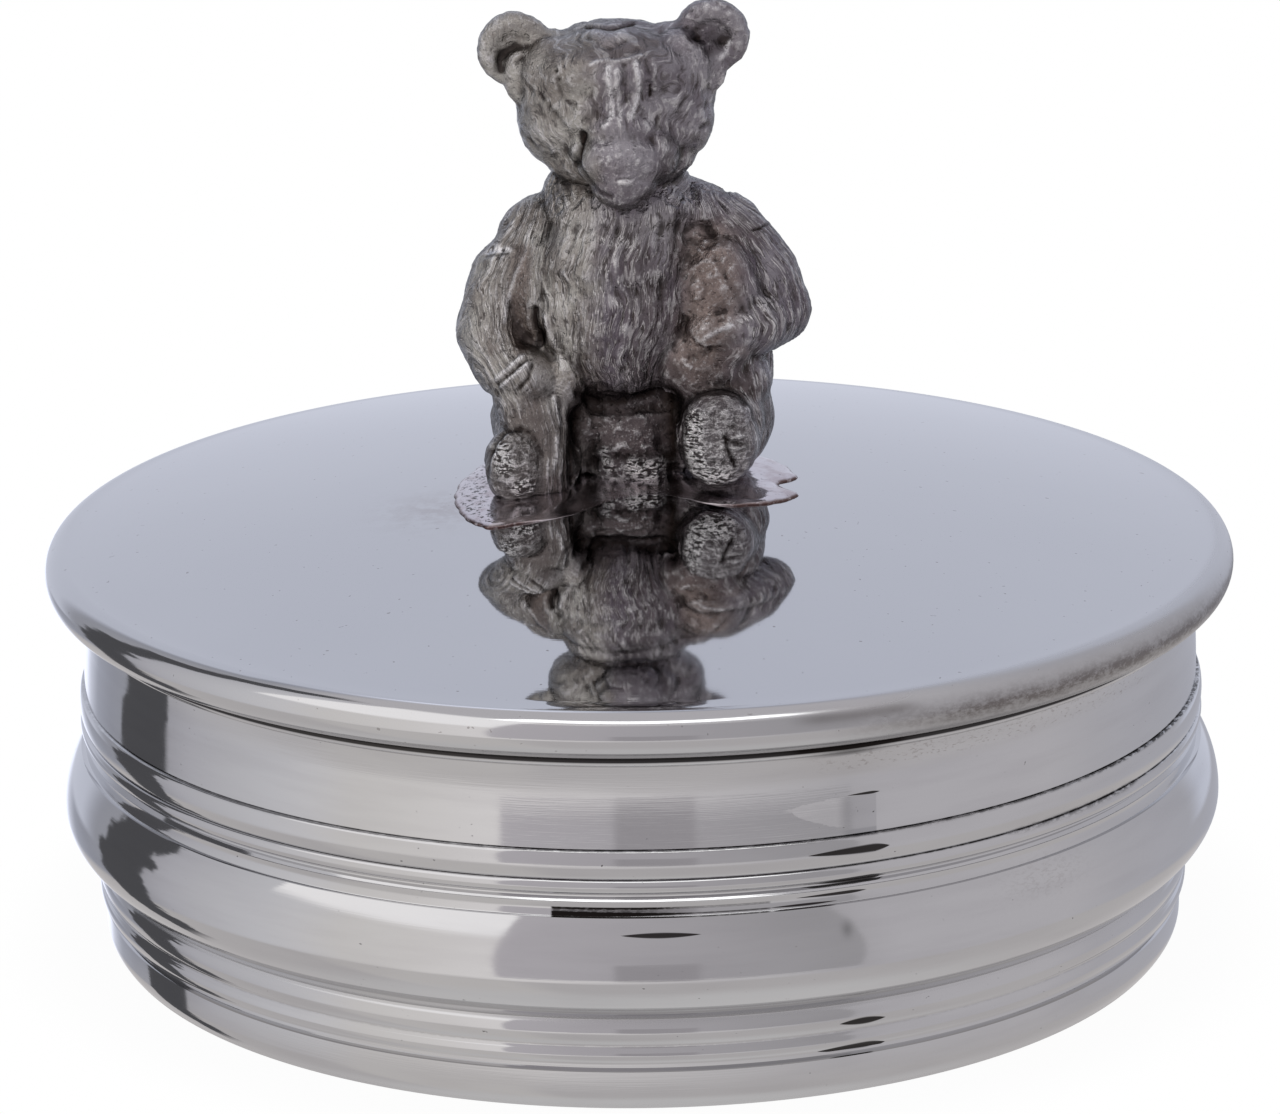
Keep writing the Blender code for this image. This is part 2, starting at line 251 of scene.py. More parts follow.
def make_belly():
    low = belly_low.z
    cove_top = belly_top - belly_reed_height
    cove_low = cove_top - cove_height
    cove_floor = upper_reed_radius - cove_depth
    band_low = cove_low - belly_band_height
    crest = (belly_radius, belly_crest)
    inside_crest = (belly_radius - belly_wall, belly_crest)
    shoulder = (upper_reed_radius + belly_shoulder_rise, band_low)
    foot = (foot_radius + foot_reed_rise, low + belly_foot_rise)
    outline = bulge(belly_top, cove_top, upper_reed_radius, reed_rise)
    # A narrow cove whose lower side is a plain slope that faces up, and catches the light
    outline += [(cove_floor, cove_top - cove_drop), (cove_floor, cove_low + cove_slope)]
    outline += [(upper_reed_radius, cove_low)]
    outline += bulge(cove_low, band_low, upper_reed_radius, -belly_band_depth)[1:]
    outline += parabola(crest, shoulder, 2 * curve_steps)[::-1]
    outline += parabola(crest, foot, 2 * curve_steps)[1:] + [(foot_radius + belly_foot_step, low)]
    outline += register(foot_wall + belly_lap, foot_wall - seam_gap, low)
    outline += parabola(inside_crest, (foot_wall, low + 2 * register_height))[::-1]
    outline += parabola(inside_crest, (mouth_bore, band_low))[1:]
    outline += register(register_radius, mouth_bore, belly_top)[::-1]
    return turned("belly_swell", outline)


def make_foot():
    band_radius = foot_radius - foot_line_inset
    reeds = bulge(foot_top, foot_middle_groove, foot_radius, foot_reed_rise)
    reeds += bulge(foot_middle_groove, foot_reeds_bottom, foot_radius, 0.8 * foot_reed_rise)[1:]
    outline = [(max(radius, foot_radius + foot_groove_fill), height) for radius, height in reeds]
    outline += [(band_radius, foot_reeds_bottom - edge_round)]
    outline += [(band_radius, foot_line_height + 2 * edge_round)]
    outline += [(band_radius - 2 * edge_round, foot_line_height)]
    outline += [(foot_radius, foot_line_height - 2 * edge_round)]
    outline += parabola((foot_radius, foot_edge_height), (foot_radius - foot_edge_inset, 0), 8)
    outline += [(foot_bore + foot_bevel, 0), (foot_bore, foot_bevel)]
    outline += [(foot_bore, disc_low.z - seam_gap), (foot_wall, disc_low.z - seam_gap)]
    outline += register(foot_wall + foot_register_step, foot_wall, foot_top)[::-1]
    return turned("reeded_foot", outline)


def make_lid():
    steps = 3 * curve_steps
    radii = [dome_edge_radius * step / steps for step in range(steps + 1)]
    top = [(radius, dome_height(radius)) for radius in radii]
    nose = bulge(dome_edge, lid_low.z, dome_edge_radius, rim_round, 2 * curve_steps)
    seat = collar_high.x - collar_wall - collar_gap
    inner_radii = [seat * step / curve_steps for step in range(curve_steps + 1)]
    underside = [(radius, dome_height(radius) - lid_wall) for radius in reversed(inner_radii)]
    outline = top + nose[1:] + [(seat, lid_low.z)] + underside
    return turned("lid_dome", outline, closed=False)


def make_collar():
    inner = collar_high.x - collar_wall
    outline = [(collar_high.x, collar_high.z), (collar_high.x, collar_low.z + collar_lead)]
    outline += [(collar_high.x - collar_lead, collar_low.z), (inner, collar_low.z)]
    outline += [(inner, collar_high.z)]
    return turned("lid_locating_collar", outline)


def apply_modifier(piece, kind, **settings):
    modifier = piece.modifiers.new(kind.lower(), kind)
    for name, value in settings.items():
        setattr(modifier, name, value)
    make_active(piece)
    bpy.ops.object.modifier_apply(modifier=modifier.name)


def keep_value(mesh, name, values):
    """Keep a number at each vertex for the finishes to read."""
    attribute = mesh.attributes.new(name, "FLOAT", "POINT")
    attribute.data.foreach_set("value", np.asarray(values, np.float32))


# Solder puddle: rings drawn in from its ragged edge, then laid on the dome

# Edge of the puddle as (across, back) in millimetres from the lid's axis
puddle_edge = [
    (-11.6, -4.9), (-11.45, -2.4), (-10.7, 0.3), (-9.65, 2.9), (-7.4, 5.4), (-4.2, 7.2), (-0.6, 7.8),
    (2.8, 7.1), (5.4, 5.3), (7.3, 3.6), (8.8, 1.9), (9.7, 0.3), (10.1, -1.3), (9.75, -2.3), (9.05, -2.95),
    (8.9, -3.45), (9.3, -4.15), (9.95, -4.9), (9.95, -5.7), (9.1, -6.6), (7.6, -7.4), (5.9, -7.75),
    (4.3, -7.4), (2.9, -6.3), (1.3, -5.7), (-0.6, -5.9), (-2.4, -7.3), (-4, -9), (-5.8, -10), (-7.5, -10.4),
    (-9.1, -10.9), (-10.1, -10.1), (-11.1, -8.1),
]
puddle_centre = (-0.6 * mm, -1.6 * mm)
puddle_rings = [1, 0.994, 0.985, 0.97, 0.95, 0.92, 0.88, 0.82, 0.74, 0.64, 0.52, 0.4, 0.28, 0.16, 0.06]
puddle_run = 8
puddle_thickness = 0.1 * mm
puddle_edge_rise = 0.26
puddle_middle_rise = 0.12
puddle_ripple = 0.045
ripple_fineness = 620


def smooth_loop(points, per_run):
    """A closed curve through the points."""
    count = len(points)
    curve = []
    for index in range(count):
        before, start, end, after = [np.array(points[(index + k - 1) % count]) for k in range(4)]
        for step in range(per_run):
            t = step / per_run
            curve.append(0.5 * (2 * start + (end - before) * t
                                + (2 * before - 5 * start + 4 * end - after) * t ** 2
                                + (3 * start - before - 3 * end + after) * t ** 3))
    return curve


def ragged(place):
    """The puddle's edge wanders a little, as solder does where it stops wetting the metal."""
    wander = noise.noise(Vector((place[0] * 1.1, place[1] * 1.1, 3.7))) * 0.16
    wander += noise.noise(Vector((place[0] * 3.1, place[1] * 3.1, 8.2))) * 0.07
    reach = math.hypot(place[0], place[1])
    return place * (1 + wander / reach)


def make_puddle():
    edge = [ragged(place) * mm for place in smooth_loop(puddle_edge, puddle_run)]
    places = [(across, back, dome_crown) for across, back in edge]
    piece = start_point("solder_pool", places[0])
    draw_on(places + places[:1])
    weld()
    bpy.ops.mesh.select_all(action="SELECT")
    middle = (*puddle_centre, dome_crown)
    for size, last in zip(puddle_rings[1:], puddle_rings):
        bpy.ops.mesh.extrude_region_move()
        bpy.ops.transform.resize(value=(size / last, size / last, 1), center_override=middle)
    bpy.ops.mesh.merge(type="CENTER")
    face_outwards()
    settle(piece, smooth_angle=60)
    mesh = piece.data
    if sum(face.normal.z for face in mesh.polygons) <= 0:
        mesh.flip_normals()
    # The flat rings are laid on the dome: thin at the edge, thicker near the middle
    rim = np.array(edge)
    insets = []
    for vertex in mesh.vertices:
        across, back = vertex.co.x, vertex.co.y
        inset = float(np.hypot(rim[:, 0] - across, rim[:, 1] - back).min()) / mm
        insets.append(inset)
        # Between the feet it slopes up gently
        slope = 0.5 + 2 * math.exp(-((across / mm + 0.7) / 4.6) ** 4)
        lift = puddle_edge_rise * min(inset / slope, 1) ** (0.3 + 0.4 * slope)
        lift += puddle_middle_rise * min(max(inset - 0.5, 0) / 3, 1) ** 0.8
        ripple = noise.noise(Vector((across, back, 0)) * ripple_fineness) * min(inset, 1)
        vertex.co.z = dome_height(math.hypot(across, back)) + (lift + puddle_ripple * ripple) * mm
    keep_value(mesh, "inset", insets)
    apply_modifier(piece, "SOLIDIFY", thickness=puddle_thickness, offset=-1)
    return piece


# The cast bear. Places are in bear millimetres: across, back, and up from the lid's crown, for a
# bear thirty of them high. Its masses flow together, and marks and fur are then cut in.

bear_height = 30.34
bear_mm = (bear_high.z - dome_crown) / bear_height
bear_voxel = 0.166 * mm
bear_base_cut = 0.02 * mm

# Rounded masses: the centre, then the half sizes. The first one is the piece that the rest join.
bear_masses = [
    # Trunk and neck
    (-0.45, 0.81, 3.45, 6.05, 4.32, 3.75), (-0.67, -1.3, 2.4, 3.7, 2.5, 3),
    (-1.12, -0.41, 10.8, 6.38, 5.4, 6), (-0.45, 0.27, 14.4, 6.94, 4.32, 4.05),
    (0, 0.41, 16.8, 6.5, 3.51, 2.55), (-5.82, 0.54, 11.1, 2.91, 2.97, 4.5),
    (4.7, 0.27, 11.1, 3.36, 3.51, 4.8), (-1, -0.1, 18.3, 4.9, 3.6, 2.4), (-5.4, 0.3, 14.9, 3.4, 2.6, 3.2),
    # Head and muzzle
    (-1.12, -0.14, 24.6, 6.36, 5.27, 4.65), (-1.12, -1.49, 26.4, 5.38, 4.05, 2.7),
    (-0.9, -1.1, 21.1, 4.93, 3.9, 2.6), (-4.19, -0.6, 23.1, 3.14, 3.7, 3.15),
    (2.02, -0.6, 23.25, 3.14, 3.7, 3.15), (-0.75, -4.8, 21.4, 2.9, 2.7, 2.05),
    (-0.65, -5.1, 20.1, 2.15, 2.45, 1.75), (-0.75, -4.1, 23.1, 2.5, 2.3, 1.8),
    (1.1, -3.9, 21.6, 1.8, 2.4, 1.9), (-2.6, -3.6, 21.9, 1.5, 2.1, 1.5),
    (-0.6, -7.25, 20.6, 0.8, 0.5, 0.45),
    # Haunches and feet
    (-5.94, -0.81, 3.6, 3.36, 4.32, 3.6), (5.38, -0.81, 3.75, 3.36, 4.46, 3.75),
    (-7.75, -5.6, 1.9, 1.95, 2.2, 2.5), (5.05, -6.3, 3.6, 2.5, 1.75, 3), (5.05, -6.1, 4.8, 2.25, 1.8, 2),
    # Face, and the roots of the ears
    (-1.2, -2.3, 24.4, 4.7, 3.15, 3.5), (-5, -0.4, 27.5, 1.6, 1.4, 1.25), (2.4, -0.3, 28.05, 1.7, 1.4, 1.1),
    (-6.2, -1.15, 26, 1.9, 1, 2.3), (4.2, -1.15, 26.6, 1.75, 1, 2.2),
    # Sides, bib and temples
    (4.8, -1.6, 12.3, 3.3, 3.5, 3.7), (-4.5, -2.7, 6.9, 1.6, 2.6, 2.4), (-6.1, -1.5, 11.8, 2.05, 2.2, 4.3),
    (-1, -1.3, 17.5, 4.7, 3.5, 2.6), (-1.1, -1.7, 14, 5, 3.85, 4.6), (-5, -1.6, 26.1, 2.1, 1.9, 2.4),
    (2.9, -1.6, 26.6, 2.1, 1.9, 2.4),
    # Knees, lap, wrist, and the block between the feet
    (-7.1, -3.2, 5.6, 2, 2.6, 2.2), (6.1, -2.2, 6.4, 2.5, 2.9, 2.3), (4.2, -2.9, 7.9, 3.3, 2.75, 2.9),
    (4.7, -4.1, 8.9, 2.7, 1.5, 1.5), (-0.35, -2.1, 1.1, 3.1, 1.85, 1.7), (2.5, -2.2, 3.4, 1.4, 1.55, 3.1),
    (-3.6, -2, 3.2, 1.25, 1.7, 2.9),
    # Back, nape and hips
    (-0.7, 1.3, 9.6, 5.6, 3.55, 7.6), (-0.5, 0.9, 4.6, 6.6, 4, 4.2), (-0.9, 1.3, 19.2, 4.2, 3.1, 3.6),
    (-6.6, 0.3, 6.2, 2.4, 3.2, 3.6), (6.4, 0.3, 6.6, 2.4, 3.2, 3.6),
]

# Limbs: points on the middle line, each with its radius
bear_limbs = [
    [(-5.94, 0.27, 15, 2.24), (-8.18, 0, 12.45, 2.42), (-9.07, -1.3, 9.5, 2.35), (-8.29, -2.9, 7.7, 2.02),
     (-6.72, -4.05, 7.2, 1.79)],
    [(5.78, 0.27, 15.6, 2.35), (7.88, 0, 12.75, 2.51), (8.84, 0.2, 10.4, 2.3), (7.27, -2.6, 10, 2),
     (4.8, -4.2, 10.1, 1.75)],
    [(-6.16, -1.35, 4.5, 2.69), (-6.38, -3.65, 4.5, 2.46), (-6.05, -4.32, 1.8, 2.51)],
    [(5.26, -1.08, 4.35, 2.91), (5.26, -4.05, 4.2, 2.8), (5.11, -5.4, 3.3, 2.64)],
]
balls_per_run = 7

# Ears: centre of each, ringed by a roll
bear_ears = [(-7.35, -0.45, 27.55), (4.97, -0.45, 28.25)]
ear_ring_radius = 1.58
ear_roll = 0.82
ear_thickness = 0.78
balls_per_ear = 18

# How strongly the marks are cut, and how much a mark's place depends on depth as the photo sees it
mark_depth = 0.62
depth_share = 0.12

# Marks cut (-) or raised (+) along a line: height, half width, grime, brightness, points. The brightness is
# painted highlight, as on the nose and along the crown and the cuffs, except at the nick on the left arm,
# which is worn bright
bear_marks = [
    # Ears
    (-0.38, 0.24, 0.65, 0, [(-8.3, -1, 26.2), (-8.3, -1, 26.9), (-8, -1, 27.4), (-7.4, -1, 27.8),
     (-6.7, -1, 27.8)]),
    (-0.2, 0.14, 0.9, 0, [(-7.2, -1.2, 26.8), (-6.9, -1.2, 27.1)]),
    (-0.35, 0.5, 0.5, 0, [(4.3, -1, 28.2), (4.9, -1, 28.2), (5.5, -1, 27.9), (5, -1.1, 27.4)]),
    (-0.25, 0.22, 0.9, 0, [(3.7, -1.1, 28.2), (4.2, -1.1, 28.3)]),
    (0.15, 0.14, 0, 0.8, [(6, -1.1, 27.9), (5.8, -1.1, 27.2), (5.4, -1.2, 26.9)]),
    # Crown, brow and fringe
    (-0.45, 0.15, 1, 0, [(-2.9, -1, 29.1), (-2.2, -1.2, 29), (-1.4, -1.5, 29), (-0.7, -1.4, 29.1),
     (0.1, -1, 29.3)]),
    (0.22, 0.38, 0, 0.25, [(-2.2, -1.9, 28.7), (-1.4, -2.3, 28.5), (-0.7, -2.1, 28.7)]),
    (-0.2, 0.2, 0.4, 0, [(-2.8, -2.1, 28.5), (-2, -2.8, 28.2), (-1.3, -3, 28.1), (-0.4, -2.6, 28.4)]),
    (-0.25, 0.9, 0.25, 0, [(-3.5, -3.7, 28.4), (-1.7, -4.3, 28.1), (-0.3, -4.3, 28.1), (1.3, -3.7, 28.4)]),
    (0.14, 0.13, 0, 0.45, [(-2.6, -4.9, 27.5), (-2.1, -4.8, 27.7), (-1.6, -4.9, 27.8), (-1.1, -5, 27.7),
     (-0.3, -4.8, 27.8), (0.6, -4.5, 28)]),
    # Eyes
    (-0.32, 1.1, 0.05, 0, [(-3.65, -5, 26.2)]),
    (0.42, 0.8, 0.1, 0, [(-3.65, -5, 26.5), (-3.65, -5, 26)]),
    (-0.16, 0.15, 0.5, 0, [(-4.7, -4.7, 26.6), (-4.6, -4.8, 25.9), (-4.2, -4.9, 25.2), (-3.6, -5, 25)]),
    (-0.18, 0.12, 1, 0, [(-4.75, -4.5, 27)]),
    (-0.18, 0.11, 1, 0, [(-4.62, -4.6, 26.45)]),
    (-0.28, 0.75, 0.15, 0, [(1.2, -4.9, 25.8)]),
    (0.26, 0.45, 0, 0, [(1.2, -4.9, 25.8)]),
    (-0.22, 0.11, 1, 0, [(1.1, -4.95, 26.1), (1.1, -4.95, 25.5)]),
    # Blaze between the eyes
    (0.13, 0.17, 0, 0.85, [(-1.5, -5.2, 27.4), (-1.5, -5.5, 26.6), (-1.35, -5.3, 25.4), (-1.3, -5.3, 24.2),
     (-1.8, -5.2, 23.5)]),
    (0.08, 0.12, 0, 0.55, [(-1, -5.3, 27.2), (-1.05, -5.4, 26.2), (-0.9, -5.3, 25), (-0.8, -5.3, 24)]),
    (0.13, 0.16, 0, 0.85, [(0.2, -4.9, 27.6), (0.35, -5.3, 26.8), (0.4, -5.2, 25.8), (0.1, -5.2, 24.9),
     (-0.1, -5.2, 24.1)]),
    (-0.12, 0.2, 0.35, 0, [(-0.5, -5.1, 27.5), (-0.45, -5.4, 26.6), (-0.4, -5.3, 25.3)]),
    (-0.14, 0.2, 0.5, 0, [(0.9, -4.7, 27.7), (1.1, -5, 26.9)]),
    # Muzzle and nose
    (-0.55, 0.21, 1, 0, [(-3.2, -4.9, 23), (-3.3, -5.2, 22.5), (-3.5, -5.4, 21.9), (-3.55, -5.5, 21.4)]),
    (-0.05, 0.35, 0.05, 0, [(-3.1, -5.2, 22.9), (-2.2, -5.9, 23.2), (-1, -6.1, 23.2), (0.3, -6, 23.1),
     (1.3, -5.6, 22.7)]),
    (-0.2, 0.12, 0.75, 0, [(-3.5, -5.6, 21.3), (-2.9, -6.6, 20.6), (-2.1, -7.2, 19.9), (-1.4, -7.3, 19.6)]),
    (-0.12, 0.3, 0.35, 0, [(2.2, -5.4, 21.6), (1.8, -6.2, 20.6), (1.2, -6.7, 19.8), (0.5, -6.9, 19.2)]),
    (-0.1, 0.08, 0.8, 0, [(-1, -7.9, 20.95), (-0.6, -8, 20.98), (-0.2, -7.9, 20.95)]),
    (0.09, 0.12, 0, 1, [(-0.85, -8, 20.72), (-0.35, -8, 20.72)]),
    # Cheeks and jaw
    (-0.12, 0.13, 0.5, 0, [(-5.9, -3.6, 25.4), (-5, -4.4, 24.4), (-4.3, -4.9, 23.6)]),
    (-0.12, 0.12, 0.5, 0, [(-7.7, -1.4, 24), (-7, -2.4, 22.6), (-6, -3.4, 21.8)]),
    (-0.14, 0.11, 0.8, 0, [(2.9, -4.3, 24.6), (3.3, -4.1, 25.2)]),
    (-0.14, 0.11, 0.9, 0, [(4.2, -3.2, 23), (4.6, -3, 23.2)]),
    (-0.12, 0.1, 0.8, 0, [(2.6, -4.5, 21.5), (3.1, -4.2, 22)]),
    # Throat, and the edges of the bib
    (-0.05, 0.34, 0.1, 0, [(-5.6, -0.9, 18.7), (-4.3, -2.4, 18.4), (-3.1, -3.1, 18), (-1.8, -3.3, 17.5),
     (-0.5, -3.4, 17.3), (1, -3.2, 17.8), (2.6, -2.4, 18.4), (3.8, -1.2, 18.7)]),
    (-0.12, 0.2, 0.3, 0, [(-6.1, -2.4, 14.7), (-6, -3.2, 13.3), (-5.9, -3.7, 12.1)]),
    (-0.3, 0.3, 0.9, 0, [(-3.7, -3.6, 6), (-3, -3.6, 5.6), (-1.7, -3.8, 5.4), (-0.4, -3.9, 5.6),
     (1, -3.9, 6)]),
    (-0.06, 0.26, 0.15, 0, [(2.3, -4.6, 13), (2.1, -5.2, 11.6), (2, -5.2, 10.2), (1.5, -4.9, 8.2),
     (1, -4.3, 6.6)]),
    # Left arm, its shoulder and its cuff
    (-0.2, 0.55, 0.05, 0, [(-7, -2.3, 14.8), (-7.3, -2.8, 12.8), (-7.4, -3, 11.6), (-7, -3.3, 9.6)]),
    (-0.5, 0.24, 0.85, 0, [(-6.3, -3.6, 11.5), (-6.4, -3.7, 10.8), (-6.15, -3.9, 9.9), (-6.05, -4, 9.5)]),
    (0.2, 0.2, 0, 0.4, [(-5.75, -4.2, 11.2), (-5.35, -4.6, 10), (-4.95, -4.6, 8.9), (-4.55, -4.4, 7.7)]),
    (0.12, 0.11, 0, 0.7, [(-6.5, -1.4, 16.4), (-6.9, -1.9, 14.9), (-7.6, -2.3, 13.3), (-8, -2.7, 12),
     (-8.3, -3.1, 10.6)]),
    (-0.2, 0.17, 0, 1.8, [(-9.3, -0.9, 14.6), (-8.7, -1.4, 14.85), (-8, -1.7, 14.9)]),
    (-0.12, 0.08, 0.9, 0, [(-9.4, -0.8, 14.3), (-8.7, -1.5, 14.6), (-8, -1.8, 14.7)]),
    (0.22, 0.14, 0, 0.85, [(-8.5, -4.9, 6.9), (-7.7, -5.4, 7.7), (-6.8, -5.4, 8.5)]),
    (0.22, 0.14, 0, 0.7, [(-8.8, -4.7, 7.3), (-8, -5.1, 8.1), (-7.1, -5, 8.9)]),
    (-0.14, 0.08, 0.9, 0, [(-8.7, -4.9, 7), (-7.8, -5.4, 7.9), (-6.9, -5.3, 8.7)]),
    (-0.2, 0.12, 0.9, 0, [(-7.4, -5.6, 6.9), (-6.8, -5.7, 7.6), (-6.5, -5.3, 8.4)]),
    # Right arm, the worn patch and the paw
    (-0.2, 0.09, 1, 0, [(7.4, -1.8, 16), (7.9, -1.3, 16), (8.4, -0.8, 16.2)]),
    (-0.3, 0.13, 1, 0, [(9.72, -3.2, 10.2), (9.62, -3.3, 9.8)]),
    (-0.25, 0.1, 1, 0, [(10.4, -2.5, 10.7), (10.4, -2.5, 10.3)]),
    (-0.18, 0.2, 0.55, 0, [(3.2, -3.6, 16.5), (3.9, -3.4, 16.9), (4.7, -3.1, 16.6), (5.1, -3.1, 15.8),
     (4.5, -3.5, 15.4)]),
    (-0.16, 0.22, 0.45, 0, [(5, -3.4, 14.7), (5.7, -3.6, 13.4), (6.3, -3.7, 12.2), (6.9, -3.8, 11.2)]),
    (-0.12, 0.12, 0.35, 0, [(3.6, -4.4, 13.9), (3.2, -4.9, 13), (3.5, -5, 12.2), (4.2, -4.9, 12.3),
     (4.5, -4.8, 13.1), (4.1, -4.6, 13.7)]),
    (-0.18, 0.12, 1, 0, [(5.2, -4.9, 10.95), (5.5, -4.8, 11.05)]),
    (-0.14, 0.34, 0.35, 0, [(3.6, -5.9, 8.9), (4.7, -6.2, 9.4), (5.9, -5.8, 9.9)]),
    (0.14, 0.16, 0, 0.7, [(4.3, -6.1, 10.2), (5.1, -5.9, 10.6), (6, -5.4, 10.8)]),
    # Left foot and leg
    (-0.3, 0.14, 0.8, 0, [(-9.5, -6, 1.2), (-9.4, -6.5, 2.6), (-8.9, -6.8, 3.8), (-8.2, -6.6, 4.5),
     (-7.3, -6.5, 4.6)]),
    (-0.12, 0.12, 0.5, 0, [(-7.3, -6.5, 4.6), (-6.5, -6.6, 4.2), (-6, -6.7, 3)]),
    (0.12, 0.12, 0, 0.7, [(-5.3, -5.3, 6.4), (-5, -5.5, 5.6), (-4.8, -5.6, 4.6)]),
    (0.1, 0.12, 0, 0.5, [(-5.1, -6.4, 3.9), (-5.1, -6.5, 2.8), (-5.3, -6.4, 1.8)]),
    # Between the feet
    (-0.6, 0.48, 1, 0, [(-3.7, -3.9, 4.6), (-3.8, -4.2, 3.8), (-4, -5, 2.6), (-4.2, -5.2, 1),
     (-3.9, -4.6, 0.2)]),
    (-0.6, 0.6, 1, 0, [(2, -3.4, 5.6), (2, -3.6, 4.4), (2.1, -3.9, 2.8), (2.2, -4, 1)]),
    (-0.4, 0.42, 0.65, 0, [(-2.9, -3.4, 5), (-1, -3.6, 4.8), (1, -3.5, 5)]),
    (-0.3, 0.55, 0.5, 0, [(-3, -3.6, 2.6), (-2.7, -3.8, 1.4)]),
    (-0.2, 0.25, 0.7, 0, [(-3.6, -3.9, -0.2), (-1, -4.2, -0.3), (1.8, -4, -0.2)]),
    # Right sole
    (-0.1, 0.25, 0.3, 0, [(2.6, -6.2, 5.6), (2.5, -6.4, 3.8), (2.7, -6.4, 2)]),
    (-0.12, 0.22, 0.6, 0, [(3.4, -6.9, 6.4), (4.4, -7, 6.9), (5.6, -7, 6.9), (6.7, -6.8, 6.2)]),
    (-0.2, 0.13, 1, 0, [(5.5, -7.9, 4.3), (5.6, -8, 3.6), (5.8, -7.9, 3), (6.1, -7.8, 2.3)]),
    (-0.15, 0.11, 0.9, 0, [(5.4, -7.9, 4.2), (6.1, -7.8, 3.8), (6.8, -7.4, 3.6)]),
]

# Where the fur turns, at each height: the bib's left and right edges, and the arms' outer sides
fur_borders = [
    [(-4.2, 6), (-5.2, 8.5), (-5.7, 11), (-6, 14), (-5, 18)],
    [(1.6, 6), (2.2, 8), (2.8, 11), (3.4, 14), (3.8, 18)],
    [(-8.5, 4), (-10, 7), (-11.3, 9.5), (-10.4, 12.5), (-8.2, 15.5), (-6.5, 18)],
    [(8, 4), (9.4, 7), (11.1, 10.3), (10.3, 12.8), (8.2, 15.6), (5.6, 18)],
]

# How deep the fur is cut, and how long its strands are, on the head and on the body
fur_depths = (0.048, 0.1)
fur_lengths = (2.6, 4.6)

# Painted glints, white specks with black ones among them, where the wet-looking metal is brightest, at the
# feet and between them: half width, points
bear_glints = [
    (0.62, [(3.5, -7.3, 5.3), (3.4, -7.6, 3.8), (3.7, -7.7, 2.4)]),
    (0.7, [(4.4, -7.8, 1.5), (5.5, -7.7, 1.3)]),
    (0.6, [(-8.6, -7.2, 3.4), (-8.4, -7.5, 2.4)]),
    (0.45, [(-7.6, -7.8, 1), (-6.9, -7.6, 1.2)]),
    (0.34, [(-2.8, -4.3, 0.4), (-0.6, -4.4, 0.3), (1.8, -4.3, 0.4)]),
    (0.6, [(-0.3, -4.2, 1.3), (0.8, -4.2, 1), (1.8, -4, 1.4)]),
    (0.28, [(-2.1, -3.9, 2.3), (-2, -4.1, 1.3), (-1.6, -4.1, 1.1)]),
]

# Regions darker (painted shade and dark reflections), browner, or paler (painted light) than the rest:
# strength, half width, points
bear_tones = {
    # Painted shade and dark reflections on the arms, under the paws, between the legs, in the brow and down
    # the bib
    "dusky": [
        (0.55, 0.75, [(-7.7, -2, 16.2), (-8.7, -2, 11.8), (-8.9, -2, 8.7)]),
        (0.22, 0.6, [(-7.06, -2.5, 14), (-7.4, -2.5, 11.5), (-7, -2.5, 9)]),
        (0.6, 0.9, [(2.6, -4, 16), (2.9, -4.2, 14.6)]),
        (0.62, 1.5, [(0.2, -5, 14.6), (0.9, -5, 11), (0.4, -4.8, 7.6)]),
        (0.4, 0.5, [(-3.6, -4.8, 11), (-3.2, -4.9, 8.4)]),
        (1, 1.1, [(2.4, -4, 7), (2.4, -4, 5.8)]),
        (1, 1.35, [(4.6, -4.5, 6.4), (7.1, -4.2, 6.2)]),
        (0.8, 0.9, [(7.9, -3, 5), (8.3, -3, 3)]),
        (0.4, 0.45, [(3.3, -5.5, 8.4), (5, -5.7, 8.5), (6.7, -5.2, 8.7)]),
        (0.55, 0.8, [(6.7, -2.5, 16.6), (7.7, -2.5, 16)]),
        (0.55, 0.8, [(7.9, -2.8, 11), (8.5, -2.8, 9.8)]),
        (0.4, 0.9, [(-4.6, -4.6, 28.4), (-1.6, -4.3, 28.2), (1, -4.2, 28.6)]),
        (0.45, 0.7, [(2.2, -4.6, 22.2), (3.6, -4, 21.2), (2.6, -4, 20)]),
        (0.8, 1.4, [(-6.8, -4.6, 5.2), (-6.2, -5, 3)]),
        (0.5, 1.1, [(4, -4.5, 7.4), (6.8, -4, 7.6)]),
    ],
    "tan": [
        (0.9, 0.65, [(-7.06, -2.5, 15), (-7.5, -2.5, 11.5), (-7.2, -2.5, 8.6)]),
        (0.6, 0.6, [(3.3, -5.5, 8.6), (5, -5.7, 8.8), (6.7, -5.2, 9)]),
        (0.35, 0.9, [(-4.6, -4.6, 28.4), (-1.6, -4.3, 28.2), (1, -4.2, 28.6)]),
    ],
    # Painted light on the left arm's outer side, down the left of the chest, on the gusset and on the neck
    # below the chin
    "pale": [
        (0.45, 0.7, [(-10.6, -1, 13), (-11.1, -1, 10.6), (-10.8, -1.5, 8.6)]),
        (0.8, 0.75, [(-6.6, -4.4, 8), (-5.2, -4.4, 6.4), (-4.6, -4.4, 5.6)]),
        (0.35, 1.1, [(-5.2, -4.6, 16.6), (-4.3, -5, 15)]),
        (0.3, 0.8, [(-5.6, -4.6, 12), (-4.6, -5, 9)]),
        (0.5, 1.1, [(-3.4, -4.4, 17.4), (-0.8, -5, 16.6), (1.6, -4.4, 17.4)]),
    ],
}


def put_mass(ball, centre, half_sizes):
    """Give a ball its place and its size."""
    ball.location = (centre[0] * bear_mm, centre[1] * bear_mm, dome_crown + centre[2] * bear_mm)
    ball.scale = [half * bear_mm for half in half_sizes]


def add_mass(ball, centre, half_sizes):
    """A copy of the ball, at its place and size."""
    mass = bpy.data.objects.new("bear_mass", ball.data.copy())
    put_mass(mass, centre, half_sizes)
    bpy.context.scene.collection.objects.link(mass)
    mass.select_set(True)


